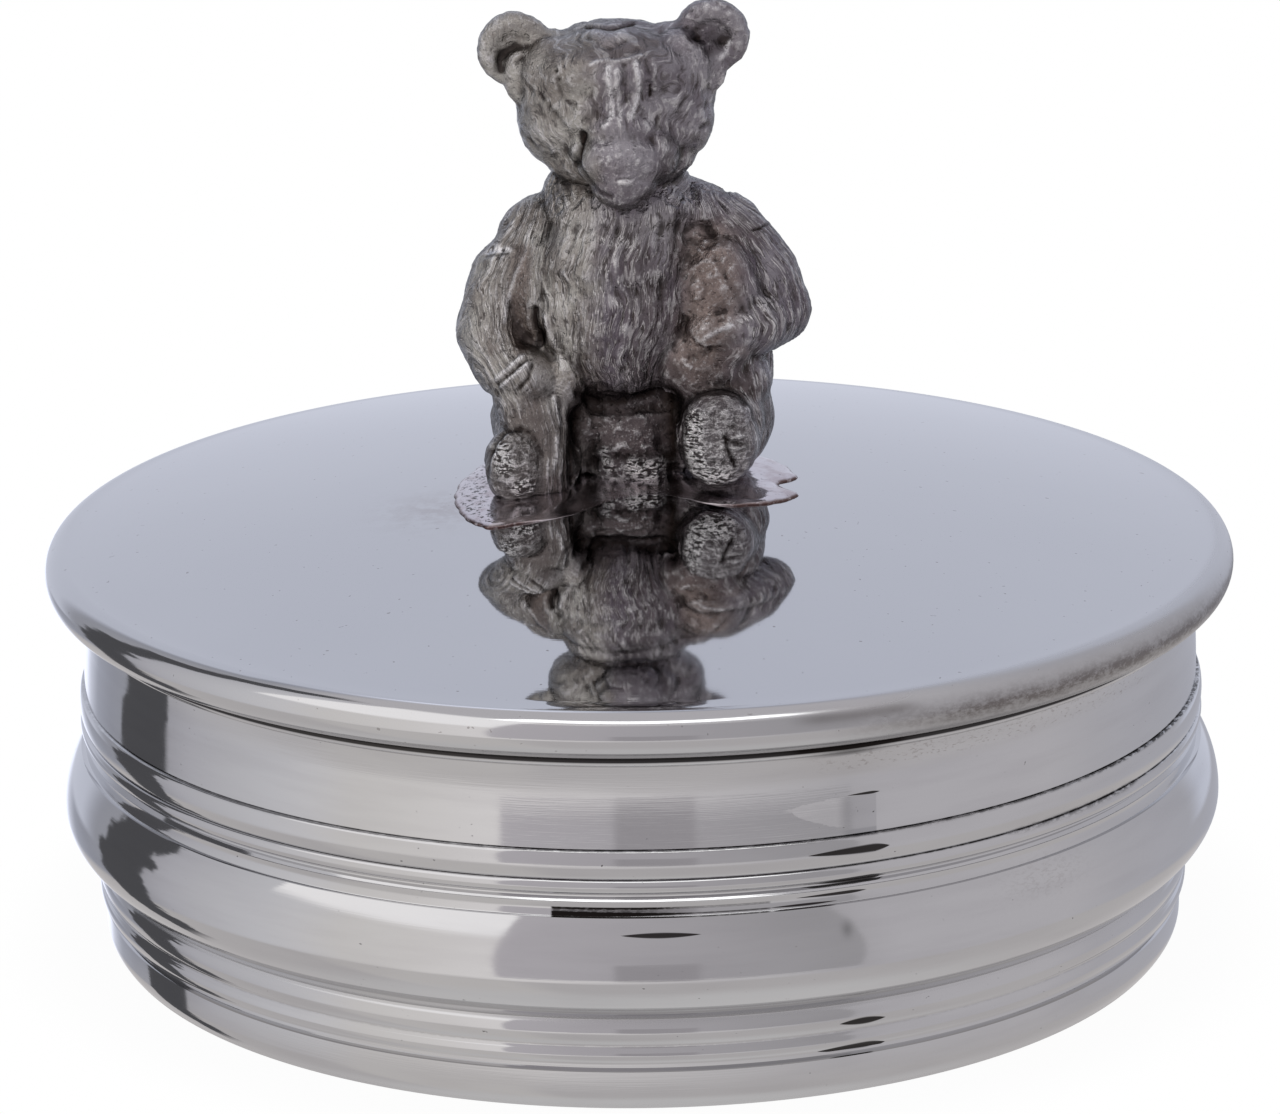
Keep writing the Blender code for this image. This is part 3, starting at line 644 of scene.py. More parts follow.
def add_limb(ball, points):
    """A tapering run of balls from point to point, ready to flow together."""
    for start, end in zip(points, points[1:]):
        for step in range(balls_per_run + 1):
            share = step / balls_per_run
            across, back, up, radius = [a + (b - a) * share for a, b in zip(start, end)]
            add_mass(ball, (across, back, up), (radius, radius, radius))


def add_ear(ball, centre):
    add_mass(ball, centre, (ear_ring_radius, ear_thickness, ear_ring_radius))
    for step in range(balls_per_ear):
        angle = 2 * math.pi * step / balls_per_ear
        across = centre[0] + ear_ring_radius * math.cos(angle)
        up = centre[2] + ear_ring_radius * math.sin(angle)
        add_mass(ball, (across, centre[1], up), (ear_roll, ear_roll * 1.15, ear_roll))


def read_rows(elements, kind, width=3, number=float):
    """A row of numbers for each vertex or edge."""
    rows = np.empty(len(elements) * width, number)
    elements.foreach_get(kind, rows)
    return rows.reshape(-1, width)


def neighbour_mean(edges, values, rounds):
    """Values averaged with those of the neighbouring vertices, round after round."""
    count = len(values)
    ends = np.concatenate([edges[:, 0], edges[:, 1]])
    others = np.concatenate([edges[:, 1], edges[:, 0]])
    shares = np.maximum(np.bincount(ends, minlength=count), 1)[:, None]
    for _ in range(rounds):
        sums = [np.bincount(ends, values[others, k], minlength=count) for k in range(values.shape[1])]
        values = 0.5 * values + 0.5 * np.stack(sums, axis=1) / shares
    return values


def line_distance(places, points):
    """Distance of every place from a line through the points."""
    nearest = np.full(len(places), 1e9)
    points = [np.array(point, float) for point in points]
    for start, end in zip(points, points[1:] or points):
        run = end - start
        along = np.clip((places - start) @ run / max(run @ run, 1e-9), 0, 1)
        gap = np.linalg.norm(places - start - along[:, None] * run, axis=1)
        nearest = np.minimum(nearest, gap)
    return nearest


def soft_step(values, low, high):
    share = np.clip((values - low) / (high - low), 0, 1)
    return share * share * (3 - 2 * share)


def strands(across, along, length, seed, where):
    """Fur as cast: narrow ridges between wider grooves, from about -1 to 1."""
    ridges = np.zeros(len(across))
    for index in np.flatnonzero(where > 0.01):
        a, b = across[index], along[index]
        sway = noise.noise(Vector((a * 0.35, b / length, seed + 9))) * 0.9
        broad = noise.noise(Vector((a * 0.95 + sway, b * 0.6 / length, seed)))
        fine = noise.noise(Vector((a * 2.1 + sway, b * 1.2 / length, seed + 4)))
        ridges[index] = 0.85 - 2.4 * abs(broad) - 1.8 * abs(fine)
    return ridges


def grain(places, scale, seed):
    offset = Vector((seed, seed * 1.7, -seed))
    return np.array([noise.noise(Vector(place) * scale + offset) for place in places])


def centre_line(heights, points):
    """Where a limb's middle runs across, at each height."""
    ordered = sorted(points, key=lambda point: point[1])
    return np.interp(heights, [point[1] for point in ordered], [point[0] for point in ordered])


def round_spot(places, points, size, power=4):
    """1 near the points, falling off at a distance from them."""
    return np.exp(-(line_distance(places, points) / size) ** power)


def in_view(places):
    """Places as the photograph sees them: across, up the picture, and a little of the depth."""
    x, y, up = places.T
    depth = y * math.cos(look_down) - up * math.sin(look_down)
    height = y * math.sin(look_down) + up * math.cos(look_down)
    return np.stack([x, height, depth_share * depth], axis=1)


def fur_lie(places):
    """Across and along the fur at each place, and how far each zone of it reaches."""
    x, y, up = places.T
    ragged = 1.3 * grain(places, 0.5, 91) + 1.1 * grain(places * np.array([1.5, 1.5, 0.4]), 1, 93)
    head = soft_step(up + ragged, 17.9, 19.3)
    bib_left, bib_right, left_side, right_side = [centre_line(up, points) for points in fur_borders]
    inside = np.clip((x - bib_left) / (bib_right - bib_left), 0, 1)
    past_left = np.clip((bib_left - x) / (bib_left - left_side), 0, 2)
    past_right = np.clip((x - bib_right) / (right_side - bib_right), 0, 2)
    outside = np.clip(past_left + past_right, 0, 1)
    wander = grain(places, 0.3, 71) * 0.35 + grain(places, 0.95, 73) * 0.16
    body_lane = 7.6 * inside - 4.6 * past_left + 6 * past_right + 0.8 * y * outside + wander
    head_lane = np.arctan2(x + 0.6, up - 15) * 9 + 3 * wander
    along = [np.hypot(x + 0.6, up - 15), up]
    return [head_lane, body_lane], along, [head, (1 - head) * (1 - 0.35 * outside)]


def carve_bear(piece):
    """Cut marks and fur into the cast, and keep what the finish needs to know at each vertex."""
    mesh = piece.data
    edges = read_rows(mesh.edges, "vertices", 2, int)
    metres = read_rows(mesh.vertices, "co")
    normals = neighbour_mean(edges, read_rows(mesh.vertices, "normal"), 2)
    normals /= np.linalg.norm(normals, axis=1)[:, None]
    places = (metres - np.array([0, 0, dome_crown])) / bear_mm
    across, along, zones = fur_lie(places)
    seen = in_view(places)
    toward_camera = np.array([0, -math.cos(look_down), math.sin(look_down)])
    facing = soft_step(normals @ toward_camera, 0, 0.2)

    def spot(points, size, power=4):
        return facing * round_spot(seen, in_view(np.array(points, float)), size, power)

    # Worn, melted-looking patch below the right shoulder, and smooth places beside the bib
    melted = spot([(4.6, -3.2, 15.2), (4.9, -4.2, 12.8), (4.4, -5.2, 10.6), (3.8, -5.4, 8.4)], 2)
    gusset = spot([(-5.6, -4.2, 8.2), (-5.1, -4, 6.6)], 1.1)
    recess = spot([(-7.1, -2.2, 14.6), (-7.4, -3, 12), (-7.1, -3.4, 9.6)], 0.75)
    sole = spot([(5.1, -7.6, 5), (5.1, -7.8, 2.4)], 2, 6)
    left_toe = spot([(-7.7, -7.4, 2.8), (-7.6, -7.6, 1.2)], 1.6, 6)
    rump = spot([(-2.2, -4, 1.4), (1.4, -3.9, 1.2)], 1.25, 6)
    left_leg = spot([(-6.6, -4.8, 5.4), (-6.2, -5.2, 2.8)], 1.4)
    eyes = spot([(-3.65, -5, 26.2)], 1.05, 6) + spot([(1.2, -4.9, 25.8)], 0.65, 6)
    ears = spot([(-7.35, -0.8, 27.5)], 2.5, 6) + spot([(4.97, -0.8, 28.2)], 2.5, 6)
    muzzle = spot([(-0.75, -6.2, 20.9)], 2.4)
    plain = np.clip(melted + gusset + recess + sole + left_toe + rump + eyes + 0.5 * left_leg, 0, 1)
    underneath = spot([(-2.6, -3.6, 4.4), (-0.8, -3.8, 3), (1.2, -3.6, 4.4)], 2.2, 6)
    plain = np.maximum(np.clip(plain + underneath, 0, 1), np.maximum(0.55 * ears, 0.92 * muzzle))

    relief = np.zeros(len(places))
    for index, (zone, depth, length) in enumerate(zip(zones, fur_depths, fur_lengths)):
        relief += zone * depth * strands(across[index], along[index], length, 21 * index + 1, zone)
    relief *= 1 - 0.9 * plain
    curls = grain(places, 0.85, 5)
    pocks = grain(places, 2.9, 17)
    relief += melted * (0.05 - 0.22 * np.abs(curls) - 0.12 * soft_step(pocks, 0.25, 0.6))
    rows = np.sin(places[:, 2] * 8.5 + 1.8 * grain(places, 1.3, 31) + places[:, 0] * 0.4)
    crumpled = grain(places, 1.7, 61)
    relief += sole * (0.035 * rows + 0.1 * crumpled + 0.05 * pocks)
    relief += left_toe * (0.1 * crumpled + 0.07 * pocks)
    relief += rump * (0.12 * crumpled + 0.1 * pocks)
    folds = grain(places * np.array([0.35, 0.6, 1.3]), 1, 81)
    relief += underneath * (0.04 * folds + 0.09 * crumpled) + muzzle * 0.06 * crumpled
    casting = grain(places, 1.1, 51)
    relief += 0.05 * casting + 0.036 * pocks

    grime = np.clip(0.22 * melted * soft_step(-curls, -0.1, 0.3) + 0.2 * recess, 0, 1)
    # Painted highlights: a faint sheen on the sole and the left toe, then the marks' brightness
    bright = 0.15 * sole + 0.1 * left_toe
    for height, width, dark, shine, points in bear_marks:
        distance = line_distance(seen, in_view(np.array(points, float)))
        relief += facing * mark_depth * height * np.exp(-(distance / width) ** 2)
        grime = np.maximum(grime, facing * dark * np.exp(-(distance / (1.1 * width)) ** 2))
        bright = np.maximum(bright, facing * shine * np.exp(-(distance / width) ** 2))
    moved = metres + normals * (relief * bear_mm)[:, None]
    low = neighbour_mean(edges, moved, 14)
    stand = ((moved - low) * normals).sum(axis=1) / bear_mm
    mesh.vertices.foreach_set("co", moved.ravel())
    mesh.update()
    tan = np.clip(melted + 0.8 * recess + 0.15 * gusset, 0, 1)
    strongest = np.argmax(np.array(zones), axis=0)
    lane = np.choose(strongest, across)
    flow = np.choose(strongest, [line * 3 / length for line, length in zip(along, fur_lengths)])
    # No strands where one zone gives way to the next
    plain = np.maximum(plain, 1 - soft_step(np.abs(2 * zones[0] - 1), 0.1, 0.6))
    shine = np.clip(sole + left_toe + rump, 0, 1)
    # Painted glints on the soles, the toes and between the feet
    glint = 0.26 * sole + 0.18 * left_toe
    for width, points in bear_glints:
        glint = glint + spot(points, width)
    # Painted light: the left side is lighter and warmer, as lit from the left
    warm = 1 - soft_step(places[:, 0] + 0.9 * casting, -3.4, -1.6)
    low_down = 1 - soft_step(places[:, 2] + 0.5 * casting, 4.6, 6.8)
    legs_front = soft_step(-places[:, 1], 1, 2.5)
    # Painted shade and dark reflections between the feet, low on the front of the legs, and on the soles
    dusky = np.clip(underneath + 0.75 * sole * soft_step(places[:, 0], 3.7, 4.5) + 0.9 * left_toe, 0, 1)
    dusky = np.maximum(dusky, 0.72 * low_down * legs_front)
    tones = {"dusky": dusky, "tan": tan, "pale": 0.14 * zones[0]}
    for kind, regions in bear_tones.items():
        for strength, width, points in regions:
            tones[kind] = np.maximum(tones[kind], strength * spot(points, width, 2.5))
    kept = {"stand": stand, "grime": grime, "bright": bright, "lane": lane, "flow": flow, "plain": plain,
            "shine": shine, "glint": np.clip(glint, 0, 1), "warm": warm, **tones}
    for name, values in kept.items():
        keep_value(mesh, name, values)


def make_bear():
    clear_selection()
    bpy.ops.mesh.primitive_uv_sphere_add(segments=24, ring_count=14, radius=1)
    piece = bpy.context.object
    piece.name = "sitting_bear"
    for mass in bear_masses[1:]:
        add_mass(piece, mass[:3], mass[3:])
    for points in bear_limbs:
        add_limb(piece, points)
    for centre in bear_ears:
        add_ear(piece, centre)
    put_mass(piece, bear_masses[0][:3], bear_masses[0][3:])
    bpy.ops.object.join()
    bpy.ops.object.transform_apply(location=True, rotation=True, scale=True)
    piece.data.name = "sitting_bear"
    apply_modifier(piece, "REMESH", mode="VOXEL", voxel_size=bear_voxel, use_smooth_shade=True)
    apply_modifier(piece, "SMOOTH", factor=0.5, iterations=8)
    bpy.ops.object.mode_set(mode="EDIT")
    weld()
    cut = (0, 0, dome_crown + bear_base_cut)
    bpy.ops.mesh.bisect(plane_co=cut, plane_no=(0, 0, 1), use_fill=False, clear_inner=True)
    bpy.ops.mesh.select_all(action="SELECT")
    bpy.ops.mesh.delete_loose()
    bpy.ops.object.mode_set(mode="OBJECT")
    carve_bear(piece)
    bpy.ops.object.mode_set(mode="EDIT")
    bpy.ops.mesh.select_all(action="DESELECT")
    bpy.ops.mesh.select_non_manifold(extend=False, use_wire=True, use_boundary=True,
                                     use_multi_face=False, use_non_contiguous=False, use_verts=False)
    bpy.ops.mesh.fill_holes(sides=0)
    face_outwards()
    return settle(piece, smooth_angle=75)


# The pieces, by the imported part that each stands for
box_pieces = {
    "mouth_band": make_mouth_band(),
    "reed_ring": make_reed_ring(),
    "belly_ring": make_belly(),
    "foot_ring": make_foot(),
}
lid_pieces = {
    "lid_plate": make_lid(),
    "lid_collar": make_collar(),
    "solder_puddle": make_puddle(),
    "bear_finial": make_bear(),
}


# Finishes. A signal is a node socket that takes part in sums as a number does.


def operator(operation, swapped=False):
    """A sum or product of two signals, or of a signal and a number, as a Math node."""

    def join(first, second):
        values = (second, first) if swapped else (first, second)
        return first.maths(operation, *values)

    return join


class Signal:
    """A socket of a node tree. Sums and products of signals add their Math nodes."""

    def __init__(self, tree, socket):
        self.tree = tree
        self.socket = socket

    def node(self, kind, settings=None, inputs=None, output=0):
        """Another node of the tree: its settings first, then the values or links of its sockets."""
        made = self.tree.nodes.new(kind)
        for name, value in (settings or {}).items():
            if name == "stops":
                set_stops(made.color_ramp, value)
            else:
                setattr(made, name, value)
        for key, value in (inputs or {}).items():
            if isinstance(value, Signal):
                self.tree.links.new(value.socket, made.inputs[key])
            else:
                made.inputs[key].default_value = value
        return Signal(self.tree, made.outputs[output])

    def maths(self, operation, *values):
        return self.node("ShaderNodeMath", {"operation": operation}, dict(enumerate(values)))

    def parts(self):
        """The three numbers of a place."""
        apart = self.node("ShaderNodeSeparateXYZ", None, {0: self}).socket.node
        return [Signal(self.tree, socket) for socket in apart.outputs]

    __add__ = __radd__ = operator("ADD")
    __sub__ = operator("SUBTRACT")
    __rsub__ = operator("SUBTRACT", swapped=True)
    __mul__ = __rmul__ = operator("MULTIPLY")
    __truediv__ = operator("DIVIDE")
    __pow__ = operator("POWER")
    __rpow__ = operator("POWER", swapped=True)


def source(tree, kind, output):
    """A signal from a node that needs no inputs."""
    return Signal(tree, tree.nodes.new(kind).outputs[output])


def set_stops(ramp, stops):
    """Places and colours along a ramp, in order."""
    elements = ramp.elements
    while len(elements) < len(stops):
        elements.new(1)
    for element, (place, colour) in zip(elements, stops):
        element.position = place
        element.color = (*colour, 1)


def rise(signal, low, high):
    """0 below low, 1 above high, and a smooth slope between."""
    return signal.node("ShaderNodeMapRange", {"interpolation_type": "SMOOTHSTEP"},
                       {0: signal, 1: low, 2: high, 3: 0, 4: 1})


def window(signal, low, high, soft):
    """1 from low to high, with soft edges that reach outwards."""
    return rise(signal, low - soft, low) * (1 - rise(signal, high, high + soft))


def bell(squares):
    """1 where a sum of squares is 0, falling away on all sides."""
    return 2.718 ** (squares * -1)


def near(signal, centre, width):
    """1 at the centre, falling away on both sides."""
    off = (signal - centre) / width
    return bell(off * off)


def at_most_one(signal):
    return signal.maths("MINIMUM", signal, 1)


def degrees_round(across, back):
    """Bearing from the front, towards +X."""
    return across.maths("ARCTAN2", across, 0 - back) * math.degrees(1)


def mixed(factor, first, second):
    """Two colours through a Mix node. Each is a signal, or red, green and blue."""
    first, second = [end if isinstance(end, Signal) else (*end, 1) for end in (first, second)]
    return factor.node("ShaderNodeMix", {"data_type": "RGBA"}, {0: factor, 6: first, 7: second}, 2)


def layered(metal, *layers):
    """Colours laid over a metal one after another, each by its mask."""
    for mask, shade in layers:
        metal = mixed(mask, metal, shade)
    return metal


def mottle(place, scale, detail, rough=0.5):
    return place.node("ShaderNodeTexNoise", None,
                      {"Vector": place, "Scale": scale, "Detail": detail, "Roughness": rough})


def streaked(across, along, back, detail, rough=0.5):
    """Noise in a place put together from three signals."""
    place = across.node("ShaderNodeCombineXYZ", None, {0: across, 1: along, 2: back})
    return mottle(place, 1, detail, rough)


class Finish:
    """A metal finish: its shader, and where on the box a point is, in millimetres."""

    def __init__(self, name):
        self.material = bpy.data.materials.new(name)
        self.material.use_nodes = True
        self.tree = self.material.node_tree
        self.shader = self.tree.nodes["Principled BSDF"]
        self.shader.inputs["Metallic"].default_value = 1
        start = source(self.tree, "ShaderNodeTexCoord", "Object")
        self.place = start.node("ShaderNodeVectorMath", {"operation": "SCALE"}, {0: start, "Scale": 1 / mm})
        self.across, self.back, self.up = self.place.parts()
        self.radius = (self.across * self.across + self.back * self.back) ** 0.5
        self.bearing = degrees_round(self.across, self.back)

    def value(self, name):
        """A number kept at the vertices."""
        return self.place.node("ShaderNodeAttribute", {"attribute_name": name}, None, 2)

    def pattern(self, offset, scale, detail, rough=0.5, stretch=(1, 1, 1)):
        """Noise in the place, scaled on each axis and then moved by an offset."""
        place = self.place
        for operation, amount in (("MULTIPLY", stretch), ("ADD", (offset, offset, offset))):
            place = place.node("ShaderNodeVectorMath", {"operation": operation}, {0: place, 1: amount})
        return mottle(place, scale, detail, rough)

    def show(self, metal, rough, height, distance):
        """Feed the colour, the roughness and a height raised over a distance in millimetres."""
        raised = height.node("ShaderNodeBump", None, {"Height": height, "Distance": distance * mm})
        for socket, signal in (("Base Color", metal), ("Roughness", rough), ("Normal", raised)):
            self.tree.links.new(signal.socket, self.shader.inputs[socket])
        return self

    def dress(self, *pieces):
        for piece in pieces:
            piece.data.materials.clear()
            piece.data.materials.append(self.material)


pewter = (0.6, 0.6, 0.608)
tarnish = (0.165, 0.125, 0.1)
# Near black, for the pits and the seams' grime, and for painted shade and painted reflections on the wall
soot_and_painted_dark = (0.018, 0.015, 0.014)


# Dark dashes on the wall, where a panel's edge is mirrored: height, half height, and the bearings
# where each starts, is fullest and ends
wall_dashes = [
    (19.46, 0.09, 20, 22.4, 23.3), (16.12, 0.26, 15.8, 22.2, 24), (14.22, 0.25, 15.4, 22, 23.8),
    (13.42, 0.11, 14.8, 20, 21.8), (12.98, 0.08, 12.2, 15.5, 18.8), (4.86, 0.24, 19.4, 22, 24.2),
    (3.2, 0.26, 17.2, 22.2, 24.3), (11.92, 0.16, -2.1, 1.6, 5.3),
]


# The radius half-way through the wall, in millimetres: at the foot, how much further out it is at
# the mouth and at the belly's crest, and how far up and down from there the belly reaches
foot_middle = 34.55
mouth_lean = 0.55
belly_lean = 1.55
belly_reach = 4.2


def turned_wall_finish():
    """Bright turned pewter: fine rings from the lathe, a few pits, grime and painted shade in the seams,
    and painted reflections of dark things round the box.
    """
    finish = Finish("turned_pewter")
    up, bearing = finish.up, finish.bearing
    lathe = finish.pattern(0, 1, 3, stretch=(0.22, 0.22, 16))
    smears = finish.pattern(5, 1, 3, stretch=(0.1, 0.1, 0.9))
    pits = rise(finish.pattern(9, 3.1, 2, stretch=(1, 1, 1.6)), 0.735, 0.765)
    pits = pits * rise(finish.pattern(2, 0.16, 1), 0.5, 0.62)
    broken = finish.pattern(3, 1.7, 3, 0.7, (1, 1, 3))
    turning_back = 1 - rise(bearing, 110, 168)
    right = rise(bearing, 8, 40) * turning_back
    far_right = rise(bearing, 44, 58) * turning_back

    # Dark lines along the seams: painted shade of the narrow joins, with grime, heavier at the front and
    # further right
    front = rise(bearing, -24, -8) * turning_back
    crumbs = 0.06 + 0.12 * window(bearing, 40, 56, 3)
    upper_seam = 0.2 + 0.22 * front + 0.16 * right + 0.4 * far_right
    lower_seam = 0.1 + 0.2 * front + 0.35 * right + 0.25 * far_right
    seams = near(up, mouth_low.z / mm - 0.02, 0.08) * upper_seam
    seams = seams + near(up, belly_top / mm + 0.02, crumbs) * lower_seam
    seams = seams + near(up, foot_top / mm + 0.02, 0.1) * 0.28
    seams = seams + near(up, foot_middle_groove / mm, 0.06) * 0.12
    seams = seams * rise(broken, 0.34, 0.58)
    # The dark lines in the cove, heavier on the left: a painted reflection of a dark card in front
    crumbled = 0.7 + 0.3 * rise(finish.pattern(7, 3.4, 3, 0.6, (1, 1, 3)), 0.36, 0.52)
    thinning = 0.3 * rise(bearing, -6, 6)
    below_cove = up - (belly_top - belly_reed_height - cove_height) / mm
    cove = window(below_cove, -0.92 + 0.3 * thinning, -0.7 - 0.3 * thinning, 0.05)
    cove = cove + window(below_cove, -0.5, -0.4, 0.04) * 0.6
    cove = cove + window(below_cove, -0.92, -0.42, 0.05) * (1 - rise(bearing, -1.5, 6))
    cove = cove * window(bearing, -8.6, 12, 0.3) * crumbled
    # Painted shade: the black line in the gap under the lid's rim. A painted reflection: a dark patch below
    # it
    below_lip = mouth_high.z / mm - up
    under_rim = (1 - rise(below_lip, 0.36, 0.46)) * window(bearing, -85, 60, 8)
    under_rim = under_rim + 0.6 * window(below_lip, 0.2, 0.8, 0.2) * near(bearing, 20, 3.2)
    dashes = 0
    for height, half, start, fullest, end in wall_dashes:
        fullness = rise(bearing, start, fullest) * (1 - rise(bearing, fullest, end))
        off = (up - height) / (half * (0.04 + 0.96 * fullness ** 0.45))
        dashes = (1 - rise(off * off, 0.45, 1.3)) * window(bearing, start, end, 0.1) + dashes
    # A blurred painted reflection of a dark thing, on the belly at the right
    spot = 0.38 * near(up, 11.5, 0.45) * near(bearing, 19.2, 0.55)
    dark = at_most_one(seams + cove * 0.8 + pits * 0.75 + under_rim * 0.95 + dashes * 0.95 + spot)
    # Painted reflections: the pointed light shape on the mouth band, and the grey strip at its right
    spread = ((bearing - 14.4) / 5.8) ** 0.6
    ragged_up = up + (broken - 0.5) * 0.35
    light_shape = window(ragged_up, 18.85 - 1.4 * spread, 18.95 + 0.5 * spread, 0.08)
    light_shape = light_shape * window(bearing, 14.5, 18.6, 1.4) * 0.75
    strip = window(up, 16.9, 19.35, 0.05) * rise(bearing, 18.8, 21) * (1 - rise(bearing, 22.85, 23))
    strip = strip * (0.7 + 0.8 * (1 - rise(up, 17.25, 17.4)))
    lip_line = near(below_lip, mouth_lip_height / mm - 0.03, 0.05) * 0.6 * rise(broken, 0.3, 0.5)
    smeared = finish.pattern(12, 2.4, 4, 0.7, (1, 1, 2.6))
    smear = window(below_lip, 0.7, 1.6, 0.5) * window(bearing, 22, 56, 8)
    spots = near(up, 12, 1) * near(bearing, 42, 5) * rise(smeared, 0.48, 0.6)
    brown = lip_line + smear * rise(smeared, 0.54, 0.66) * 0.34 + spots * 0.16
    brown = brown + 0.1 * window(below_lip, 0.5, 2, 0.4) * near(bearing, 20, 6)
    # None of these marks shows on the inside of the wall, which is left duller
    from_crest = (up - belly_crest / mm) / belly_reach
    belly_swell = 1 - from_crest * from_crest
    belly_swell = belly_swell.maths("MAXIMUM", belly_swell, 0)
    wall_middle = foot_middle + mouth_lean * rise(up, 7, 9.5) + belly_lean * belly_swell
    outside = rise(finish.radius, wall_middle - 0.1, wall_middle + 0.1)
    dark = dark * outside
    brown = brown * outside

    metal = layered(
        mixed(rise(smears, 0.35, 0.75), pewter, (0.565, 0.563, 0.572)),
        (light_shape * outside, (0.78, 0.775, 0.78)),
        (strip * outside * 0.4, (0.3, 0.3, 0.32)),
        (brown, tarnish),
        (dark, soot_and_painted_dark),
    )
    rough = 0.038 + 0.035 * rise(smears, 0.4, 0.7) + 0.015 * lathe
    rough = rough + 0.22 * (dark + brown + (1 - outside))
    return finish.show(metal, rough, lathe * 0.25 + broken * 0.05 - dark * 0.5, 0.006)


def lid_finish():
    """The dome is polished like a mirror. Its rim is duller and speckled, more so on the right."""
    finish = Finish("polished_lid_pewter")
    radius, bearing = finish.radius, finish.bearing
    smears = finish.pattern(3, 1, 3, stretch=(0.05, 0.05, 0.05))
    dust = rise(finish.pattern(6, 2.6, 1), 0.765, 0.78)
    lathe = finish.pattern(0, 1, 3, stretch=(0.2, 0.2, 12))
    # Fine rings, by distance from the axis
    rings = streaked(radius * 6, bearing * 0.01, 0, 2)
    on_rim = rise(radius, dome_edge_radius / mm - 0.1, dome_edge_radius / mm + 0.5)
    speckle = finish.pattern(4, 2.4, 4, 0.75, (1, 1, 1.7))
    blotch = finish.pattern(8, 1, 3, 0.6, (0.5, 0.5, 1.5))
    turning_back = 1 - rise(bearing, 100, 165)
    rim_height = finish.up - lid_low.z / mm
    band = near(rim_height, 1.35, 0.75) * rise(bearing, 14, 34) * turning_back
    # A painted reflection: a dark patch high on the rim at the right
    patch = near(rim_height, 2.2, 0.34) * window(bearing, 16.5, 23, 4)
    edge_shade = 1 - rise(rim_height, 0.04, 0.3)
    lower_shade = (1 - rise(rim_height, 0.1, 1.2)) * window(bearing, -16, 60, 14)
    right = rise(bearing, 5, 45) * turning_back
    shades = edge_shade * 0.55 + lower_shade * 0.22 + right * 0.1 + patch * 0.55
    brown = band * (0.5 + 0.5 * rise(speckle * 0.6 + blotch * 0.4, 0.38, 0.6))
    # The painted shade and the painted reflection go into the rim's brown with its stain
    brown = at_most_one(brown + on_rim * shades)
    # A faint brown flush where the solder was heated
    heat_x = (finish.across + 12.6) / 3
    heat_y = (finish.back + 6.5) / 3.2
    heat = bell(heat_x * heat_x + heat_y * heat_y) * rise(finish.pattern(1, 0.9, 4, 0.7), 0.35, 0.65)

    metal = layered(
        mixed(rise(smears, 0.3, 0.7), pewter, (0.585, 0.585, 0.595)),
        (heat * 0.35, (0.3, 0.245, 0.235)),
        (brown * 0.8, (0.105, 0.085, 0.078)),
        (dust * 0.5, (0.22, 0.2, 0.19)),
    )
    rough = 0.03 + 0.03 * rise(smears, 0.4, 0.7) + 0.12 * dust + 0.06 * heat + 0.1 * brown
    rough = rough + on_rim * (0.05 + 0.18 * rise(bearing, 8, 30) * turning_back)
    return finish.show(metal, rough, rings * 0.1 + on_rim * lathe * 0.25 - brown * 0.4, 0.005)


def hidden_metal_finish():
    """Satin pewter as it comes off the lathe, for the floor and the lid's collar."""
    finish = Finish("satin_turned_pewter")
    rings = streaked(finish.radius * 5, finish.up * 5, 0, 4, 0.7)
    bloom = finish.pattern(2, 1, 4, 0.6, (0.12, 0.12, 0.12))
    metal = mixed(rise(bloom, 0.35, 0.7), (0.52, 0.52, 0.53), (0.43, 0.42, 0.415))
    return finish.show(metal, 0.26 + 0.14 * rings + 0.1 * bloom, rings, 0.01)


def solder_finish():
    """Bright solder that flowed and set: rippled, pitted, and reddish brown along its edge."""
    finish = Finish("flowed_solder")
    inset = finish.value("inset")
    ripple = finish.pattern(2, 0.9, 3)
    spots = finish.pattern(5, 2.9, 3, 0.65)
    between_feet = window(finish.across, -6, 4.6, 1.6)
    edge = (1 - rise(inset, 0.03, 0.26)) * (1 - 0.85 * between_feet)
    left = 1 - rise(finish.across, -9.6, -7.6)
    lobe = left * rise(inset, 0.2, 0.5) * (1 - rise(inset, 1.6, 2.6))
    pits = rise(spots, 0.62, 0.67) * 0.3 + lobe * rise(spots, 0.54, 0.59) * 0.8
    flush = rise(ripple, 0.42, 0.66)
    metal = layered(
        mixed(flush, (0.62, 0.58, 0.605), (0.5, 0.44, 0.455)),
        (edge * rise(spots, 0.25, 0.5), (0.12, 0.075, 0.07)),
        (at_most_one(pits), soot_and_painted_dark),
    )
    rough = 0.08 + 0.08 * flush + 0.2 * edge + 0.2 * pits + 0.06 * between_feet
    return finish.show(metal, rough, ripple * 0.6 + spots * 0.15 - pits * 0.3, 0.04)


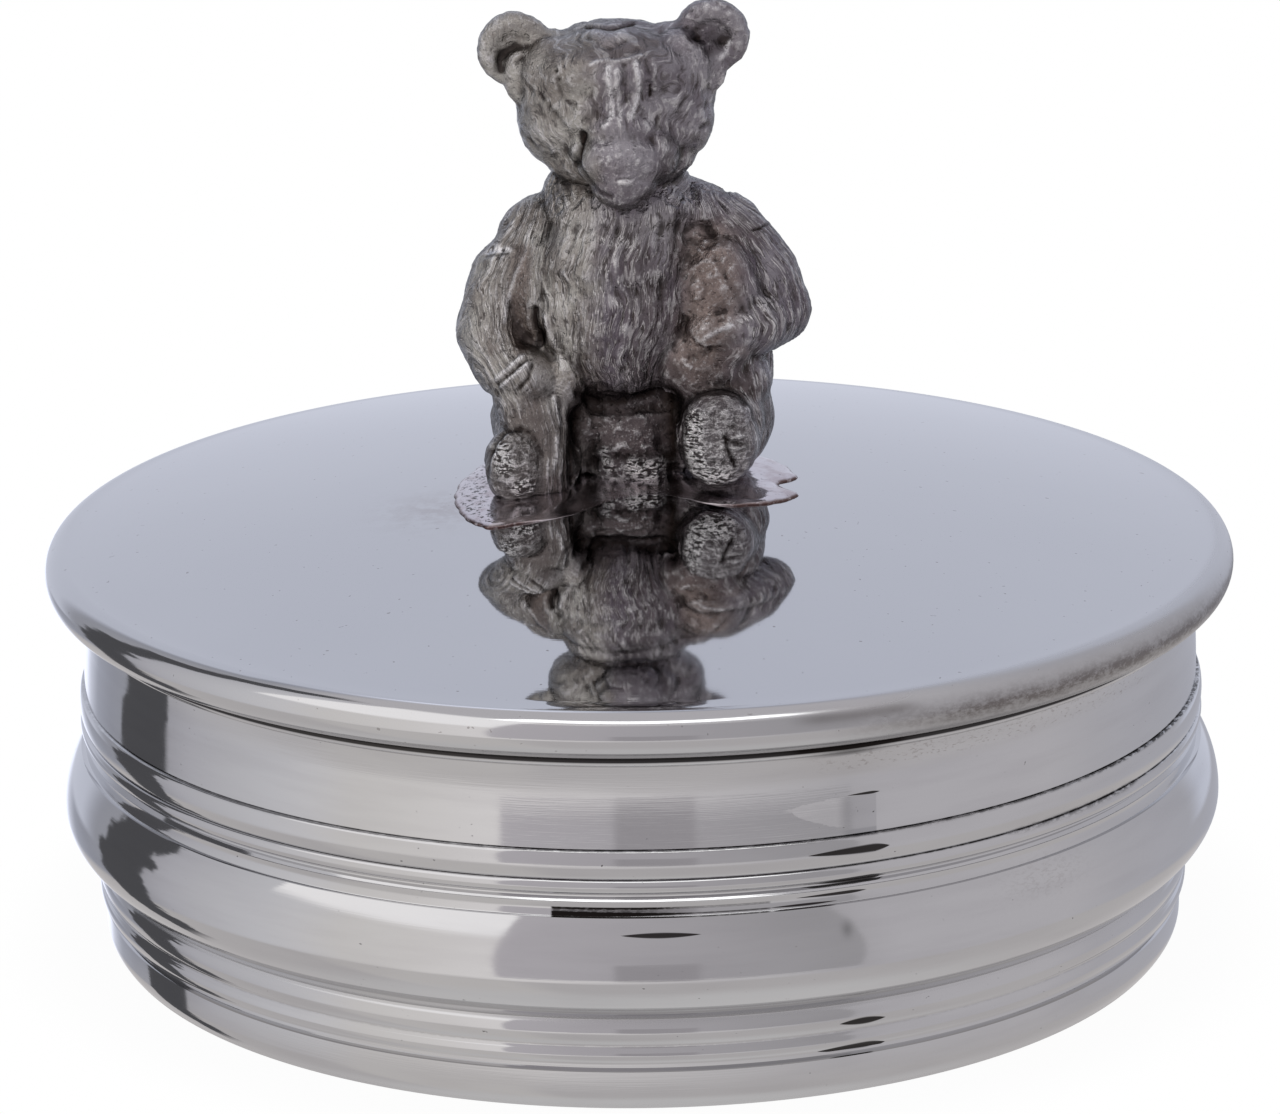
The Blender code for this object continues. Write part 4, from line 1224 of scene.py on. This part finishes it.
def bear_finish():
    """Cast pewter, darkened and rubbed back: bright on the ridges, brown-black in the hollows."""
    finish = Finish("antiqued_cast_pewter")
    kept = ("stand", "lane", "flow", "plain", "grime", "bright", "shine", "glint")
    stand, lane, flow, plain, grime, bright, shine, glint = map(finish.value, kept)
    tan, dusky, pale, warm = map(finish.value, ("tan", "dusky", "pale", "warm"))
    furry = 1 - plain
    hairs = streaked(lane * 1.7, flow * 0.3, finish.back * 0.2, 3, 0.62)
    strokes = streaked(lane * 3, flow * 0.95, finish.back * 0.5, 2, 0.55)
    fine_hairs = streaked(lane * 4.2, flow * 0.6, finish.back * 0.5, 2, 0.6)
    off_middle = fine_hairs - 0.5
    grain_fine = finish.pattern(3, 4.4, 4, 0.75)
    cloud = finish.pattern(7, 0.36, 3, 0.6)
    patchy = finish.pattern(11, 1.1, 3, 0.6)
    dashes = finish.pattern(9, 1, 3, 0.6, (1.6, 1.6, 5.5))
    pores = rise(finish.pattern(2, 2.6, 2), 0.6, 0.7)
    on_head = rise(finish.up, dome_crown / mm + 18, dome_crown / mm + 19)
    drawn = furry * rise(patchy, 0.36, 0.56) * (1 - 0.8 * on_head)
    cracks = window(off_middle, 0, 0.03, 0.018) * drawn
    hair_lines = window(off_middle, -0.04, -0.014, 0.016) * drawn
    edge_on = finish.place.node("ShaderNodeLayerWeight", None, {"Blend": 0.5}, 1)
    height = stand + (grain_fine - 0.5) * 0.09 + (hairs - 0.5) * 0.22 * furry
    hollow = 1 - rise(height, -0.09, -0.005)
    ridge = rise(height, 0.02, 0.095)
    texture = strokes * furry + grain_fine * plain
    flecks = rise(texture, 0.55, 0.64)
    nicks = 1 - rise(texture, 0.36, 0.44)
    sparkle = rise(dashes * 0.6 + grain_fine * 0.4, 0.475, 0.515)
    # Painted light: the metal lighter and warmer on the left, as lit from there, darker and cooler
    # elsewhere
    cool_metal = mixed(rise(cloud, 0.38, 0.66), (0.16, 0.138, 0.162), (0.275, 0.257, 0.282))
    warm_metal = mixed(rise(cloud, 0.34, 0.62), (0.25, 0.225, 0.205), (0.42, 0.404, 0.375))
    metal = layered(
        mixed(warm, cool_metal, warm_metal),
        (tan * 0.9, (0.262, 0.206, 0.184)),
        # Painted shade and dark reflections
        (dusky * 0.88, (0.115, 0.094, 0.092)),
        (ridge * rise(patchy, 0.3, 0.58) * 0.8, (0.7, 0.685, 0.69)),
        # Painted light on the pale regions
        (pale * 0.7, (0.48, 0.465, 0.455)),
        (flecks * 0.45, (0.66, 0.645, 0.64)),
        (nicks * 0.55, (0.075, 0.062, 0.062)),
        (hair_lines * 0.6, (0.72, 0.7, 0.69)),
        # Painted highlights along the marks
        (bright * rise(grain_fine, 0.34, 0.5), (0.85, 0.84, 0.85)),
        # Painted glints: white specks, and black ones for dark things mirrored
        (glint * sparkle, (0.94, 0.93, 0.92)),
        (glint * (1 - sparkle) * 0.8, (0.05, 0.042, 0.04)),
        (cracks * 0.7, (0.05, 0.04, 0.036)),
        (hollow * 0.85, (0.045, 0.036, 0.034)),
        (grime * rise(grain_fine, 0.2, 0.48), (0.02, 0.014, 0.012)),
        # Painted shade: dark where the surface turns edge-on
        (rise(edge_on, 0.58, 0.86) * 0.85, (0.03, 0.025, 0.026)),
    )
    rough = 0.19 + 0.12 * hollow + 0.06 * tan - 0.06 * shine
    fur_height = (strokes * 0.7 + hairs * 1.2 + fine_hairs * 0.7) * furry
    raised = grain_fine * (0.6 + 1.2 * shine) + fur_height + dashes * 1.5 * shine
    return finish.show(metal, rough, raised - pores * 0.35, 0.12)


turned_wall_finish().dress(*box_pieces.values())
lid_finish().dress(lid_pieces["lid_plate"])
hidden_metal_finish().dress(lid_pieces["lid_collar"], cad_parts["floor_disc"])
solder_finish().dress(lid_pieces["solder_puddle"])
bear_finish().dress(lid_pieces["bear_finial"])


# Studio. The metal mirrors large cards that stand round it, each a span of bearing and elevation.

# Light round the horizon: bearing from the front, brightness, and how red and blue beside green
horizon_cards = [
    (-180, 0.5, 0.96, 1.16), (-173, 1.2, 0.96, 1.16), (-163, 1.15, 0.96, 1.16), (-158, 0.76, 0.96, 1.16),
    (-150, 0.46, 0.96, 1.17), (-140, 0.4, 0.97, 1.15), (-131, 0.42, 0.98, 1.12), (-112, 0.5, 1.01, 1.08),
    (-104, 0.6, 1.01, 1.07), (-95, 0.66, 1.01, 1.05), (-80, 0.75, 1.01, 1.04), (-70, 0.8, 1.02, 1.02),
    (-60, 0.82, 1.035, 0.98), (-45, 0.88, 1.037, 0.98), (-33, 0.94, 1.037, 0.99), (-26, 0.96, 1.037, 0.99),
    (42, 0.575, 1.03, 1.04), (50, 0.62, 1.03, 1.043), (90, 0.62, 1.03, 1.043), (105, 0.575, 1.02, 1.06),
    (120, 0.56, 1.01, 1.08), (135, 0.53, 1, 1.09), (150, 0.5, 0.99, 1.115), (165, 0.47, 0.98, 1.13),
    (180, 0.46, 0.96, 1.16),
]


def tinted(level, red=1.03, blue=1.04):
    """A grey of some brightness, with its red and blue beside the green."""
    return (level * red, level, level * blue)


def light_studio():
    world = bpy.data.worlds.new("studio")
    bpy.context.scene.world = world
    world.use_nodes = True
    tree = world.node_tree
    aim = source(tree, "ShaderNodeTexCoord", "Generated")
    across, back, up = aim.parts()
    bearing = degrees_round(across, back)
    height = up.maths("ARCSINE", up) * math.degrees(1)
    stops = [((place + 180) / 360, [part / 2 for part in tinted(*look)]) for place, *look in horizon_cards]
    horizon = bearing.node("ShaderNodeValToRGB", {"stops": stops}, {0: (bearing + 180) / 360})
    horizon = horizon.node("ShaderNodeVectorMath", {"operation": "SCALE"}, {0: horizon, "Scale": 2})
    below = 1 - rise(height, -26, -20)
    slant = bearing - height * 0.25 + 119 + (mottle(aim, 7, 3) - 0.5) * 14
    light = layered(
        horizon,
        (rise(height, 50, 62), tinted(0.63)),
        (below, tinted(0.6, 1.04, 1)),
        (below * window(bearing, -62, -30, 12), tinted(0.68, 1.04, 0.98)),
        (1 - rise(height, -75, -45), tinted(0.7, 1.02, 1)),
        ((1 - window(bearing, -132, 132, 12)) * window(height, -10, 48, 3), tinted(0.72, 0.961, 1.15)),
        (window(bearing, -80, -28, 1.5) * window(height, 28, 60, 7), tinted(1.2, 1.02, 1)),
        (window(slant, -8, 8, 1.5) * window(height, -40, 58, 5), tinted(0.1, 1, 1.08)),
        # The broad panel in front, darker towards its right
        (window(bearing, -28, 42, 0.7) * window(height, -17.5, 50, 0.8),
         mixed((bearing + 28) / 65, tinted(0.6, 1.05, 1.05), tinted(0.455))),
        (window(bearing, -5, 10, 1) * window(height, -17.5, 0, 2), tinted(0.43, 1.05, 1.05)),
        (window(bearing, -40, 50, 6) * window(height, 61, 71, 2), tinted(2.3, 1, 1)),
        # The camera itself sees white
        (source(tree, "ShaderNodeLightPath", "Is Camera Ray"), (1, 1, 1)),
    )
    tree.links.new(light.socket, tree.nodes["Background"].inputs["Color"])


table_radius = 0.9
table_gap = 0.02 * mm


def lay_floor():
    """A plain pale table top. It keeps the box's soft shadow, and is white further out."""
    clear_selection()
    bpy.ops.mesh.primitive_circle_add(vertices=96, radius=table_radius, fill_type="NGON",
                                      location=(0, 0, -table_gap))
    floor = bpy.context.object
    floor.name = "table_top"
    settle(floor, smooth_angle=30)
    floor.visible_glossy = False
    material = bpy.data.materials.new("pale_table")
    material.use_nodes = True
    tree = material.node_tree
    tree.nodes.clear()
    start = source(tree, "ShaderNodeTexCoord", "Object")
    reach = start.node("ShaderNodeVectorMath", {"operation": "LENGTH"}, {0: start}, 1) / mm
    white = start.node("ShaderNodeEmission", None, {"Color": (1, 1, 1, 1), "Strength": 1})
    matt = start.node("ShaderNodeBsdfDiffuse", None, {"Color": (0.86, 0.86, 0.86, 1)})
    shown = source(tree, "ShaderNodeLightPath", "Is Camera Ray") * (0.96 + 0.04 * rise(reach, 36, 44))
    table = start.node("ShaderNodeMixShader", None, {0: shown, 1: matt, 2: white})
    output = tree.nodes.new("ShaderNodeOutputMaterial")
    tree.links.new(table.socket, output.inputs["Surface"])
    floor.data.materials.append(material)
    return floor


# The photograph's camera, by its distance from the box, its aim, its roll and its focal length
look_distance = 0.39807
look_height = 0.02446
look_shift = (0.000074, -0.000359)
look_roll = math.radians(-0.731)
photo_width = 1280
photo_focus = 6202.4
sensor_width = 36


def place_camera():
    rise_to_camera = look_distance * math.sin(look_down)
    place = Vector((0, -look_distance * math.cos(look_down), rise_to_camera + look_height))
    target = Vector((look_shift[0], 0, look_height + look_shift[1]))
    ahead = (target - place).normalized()
    right = ahead.cross(Vector((0, 0, 1))).normalized()
    top = right.cross(ahead)
    rolled_right = right * math.cos(look_roll) + top * math.sin(look_roll)
    rolled_top = top * math.cos(look_roll) - right * math.sin(look_roll)
    lens = bpy.data.cameras.new("view")
    lens.sensor_width = sensor_width
    lens.lens = photo_focus / photo_width * sensor_width
    lens.clip_start = 0.01
    camera = bpy.data.objects.new("view", lens)
    bpy.context.scene.collection.objects.link(camera)
    camera.matrix_world = Matrix((rolled_right, rolled_top, -ahead)).transposed().to_4x4()
    camera.location = place
    bpy.context.scene.camera = camera


light_studio()
table_top = lay_floor()
place_camera()
bpy.context.scene.view_settings.view_transform = "Standard"

# What each piece rides on, and the imported part it stands for, which is hidden
for body, pieces in (("box", box_pieces), ("lid", lid_pieces)):
    for node, piece in pieces.items():
        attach(piece, body)
        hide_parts(node)
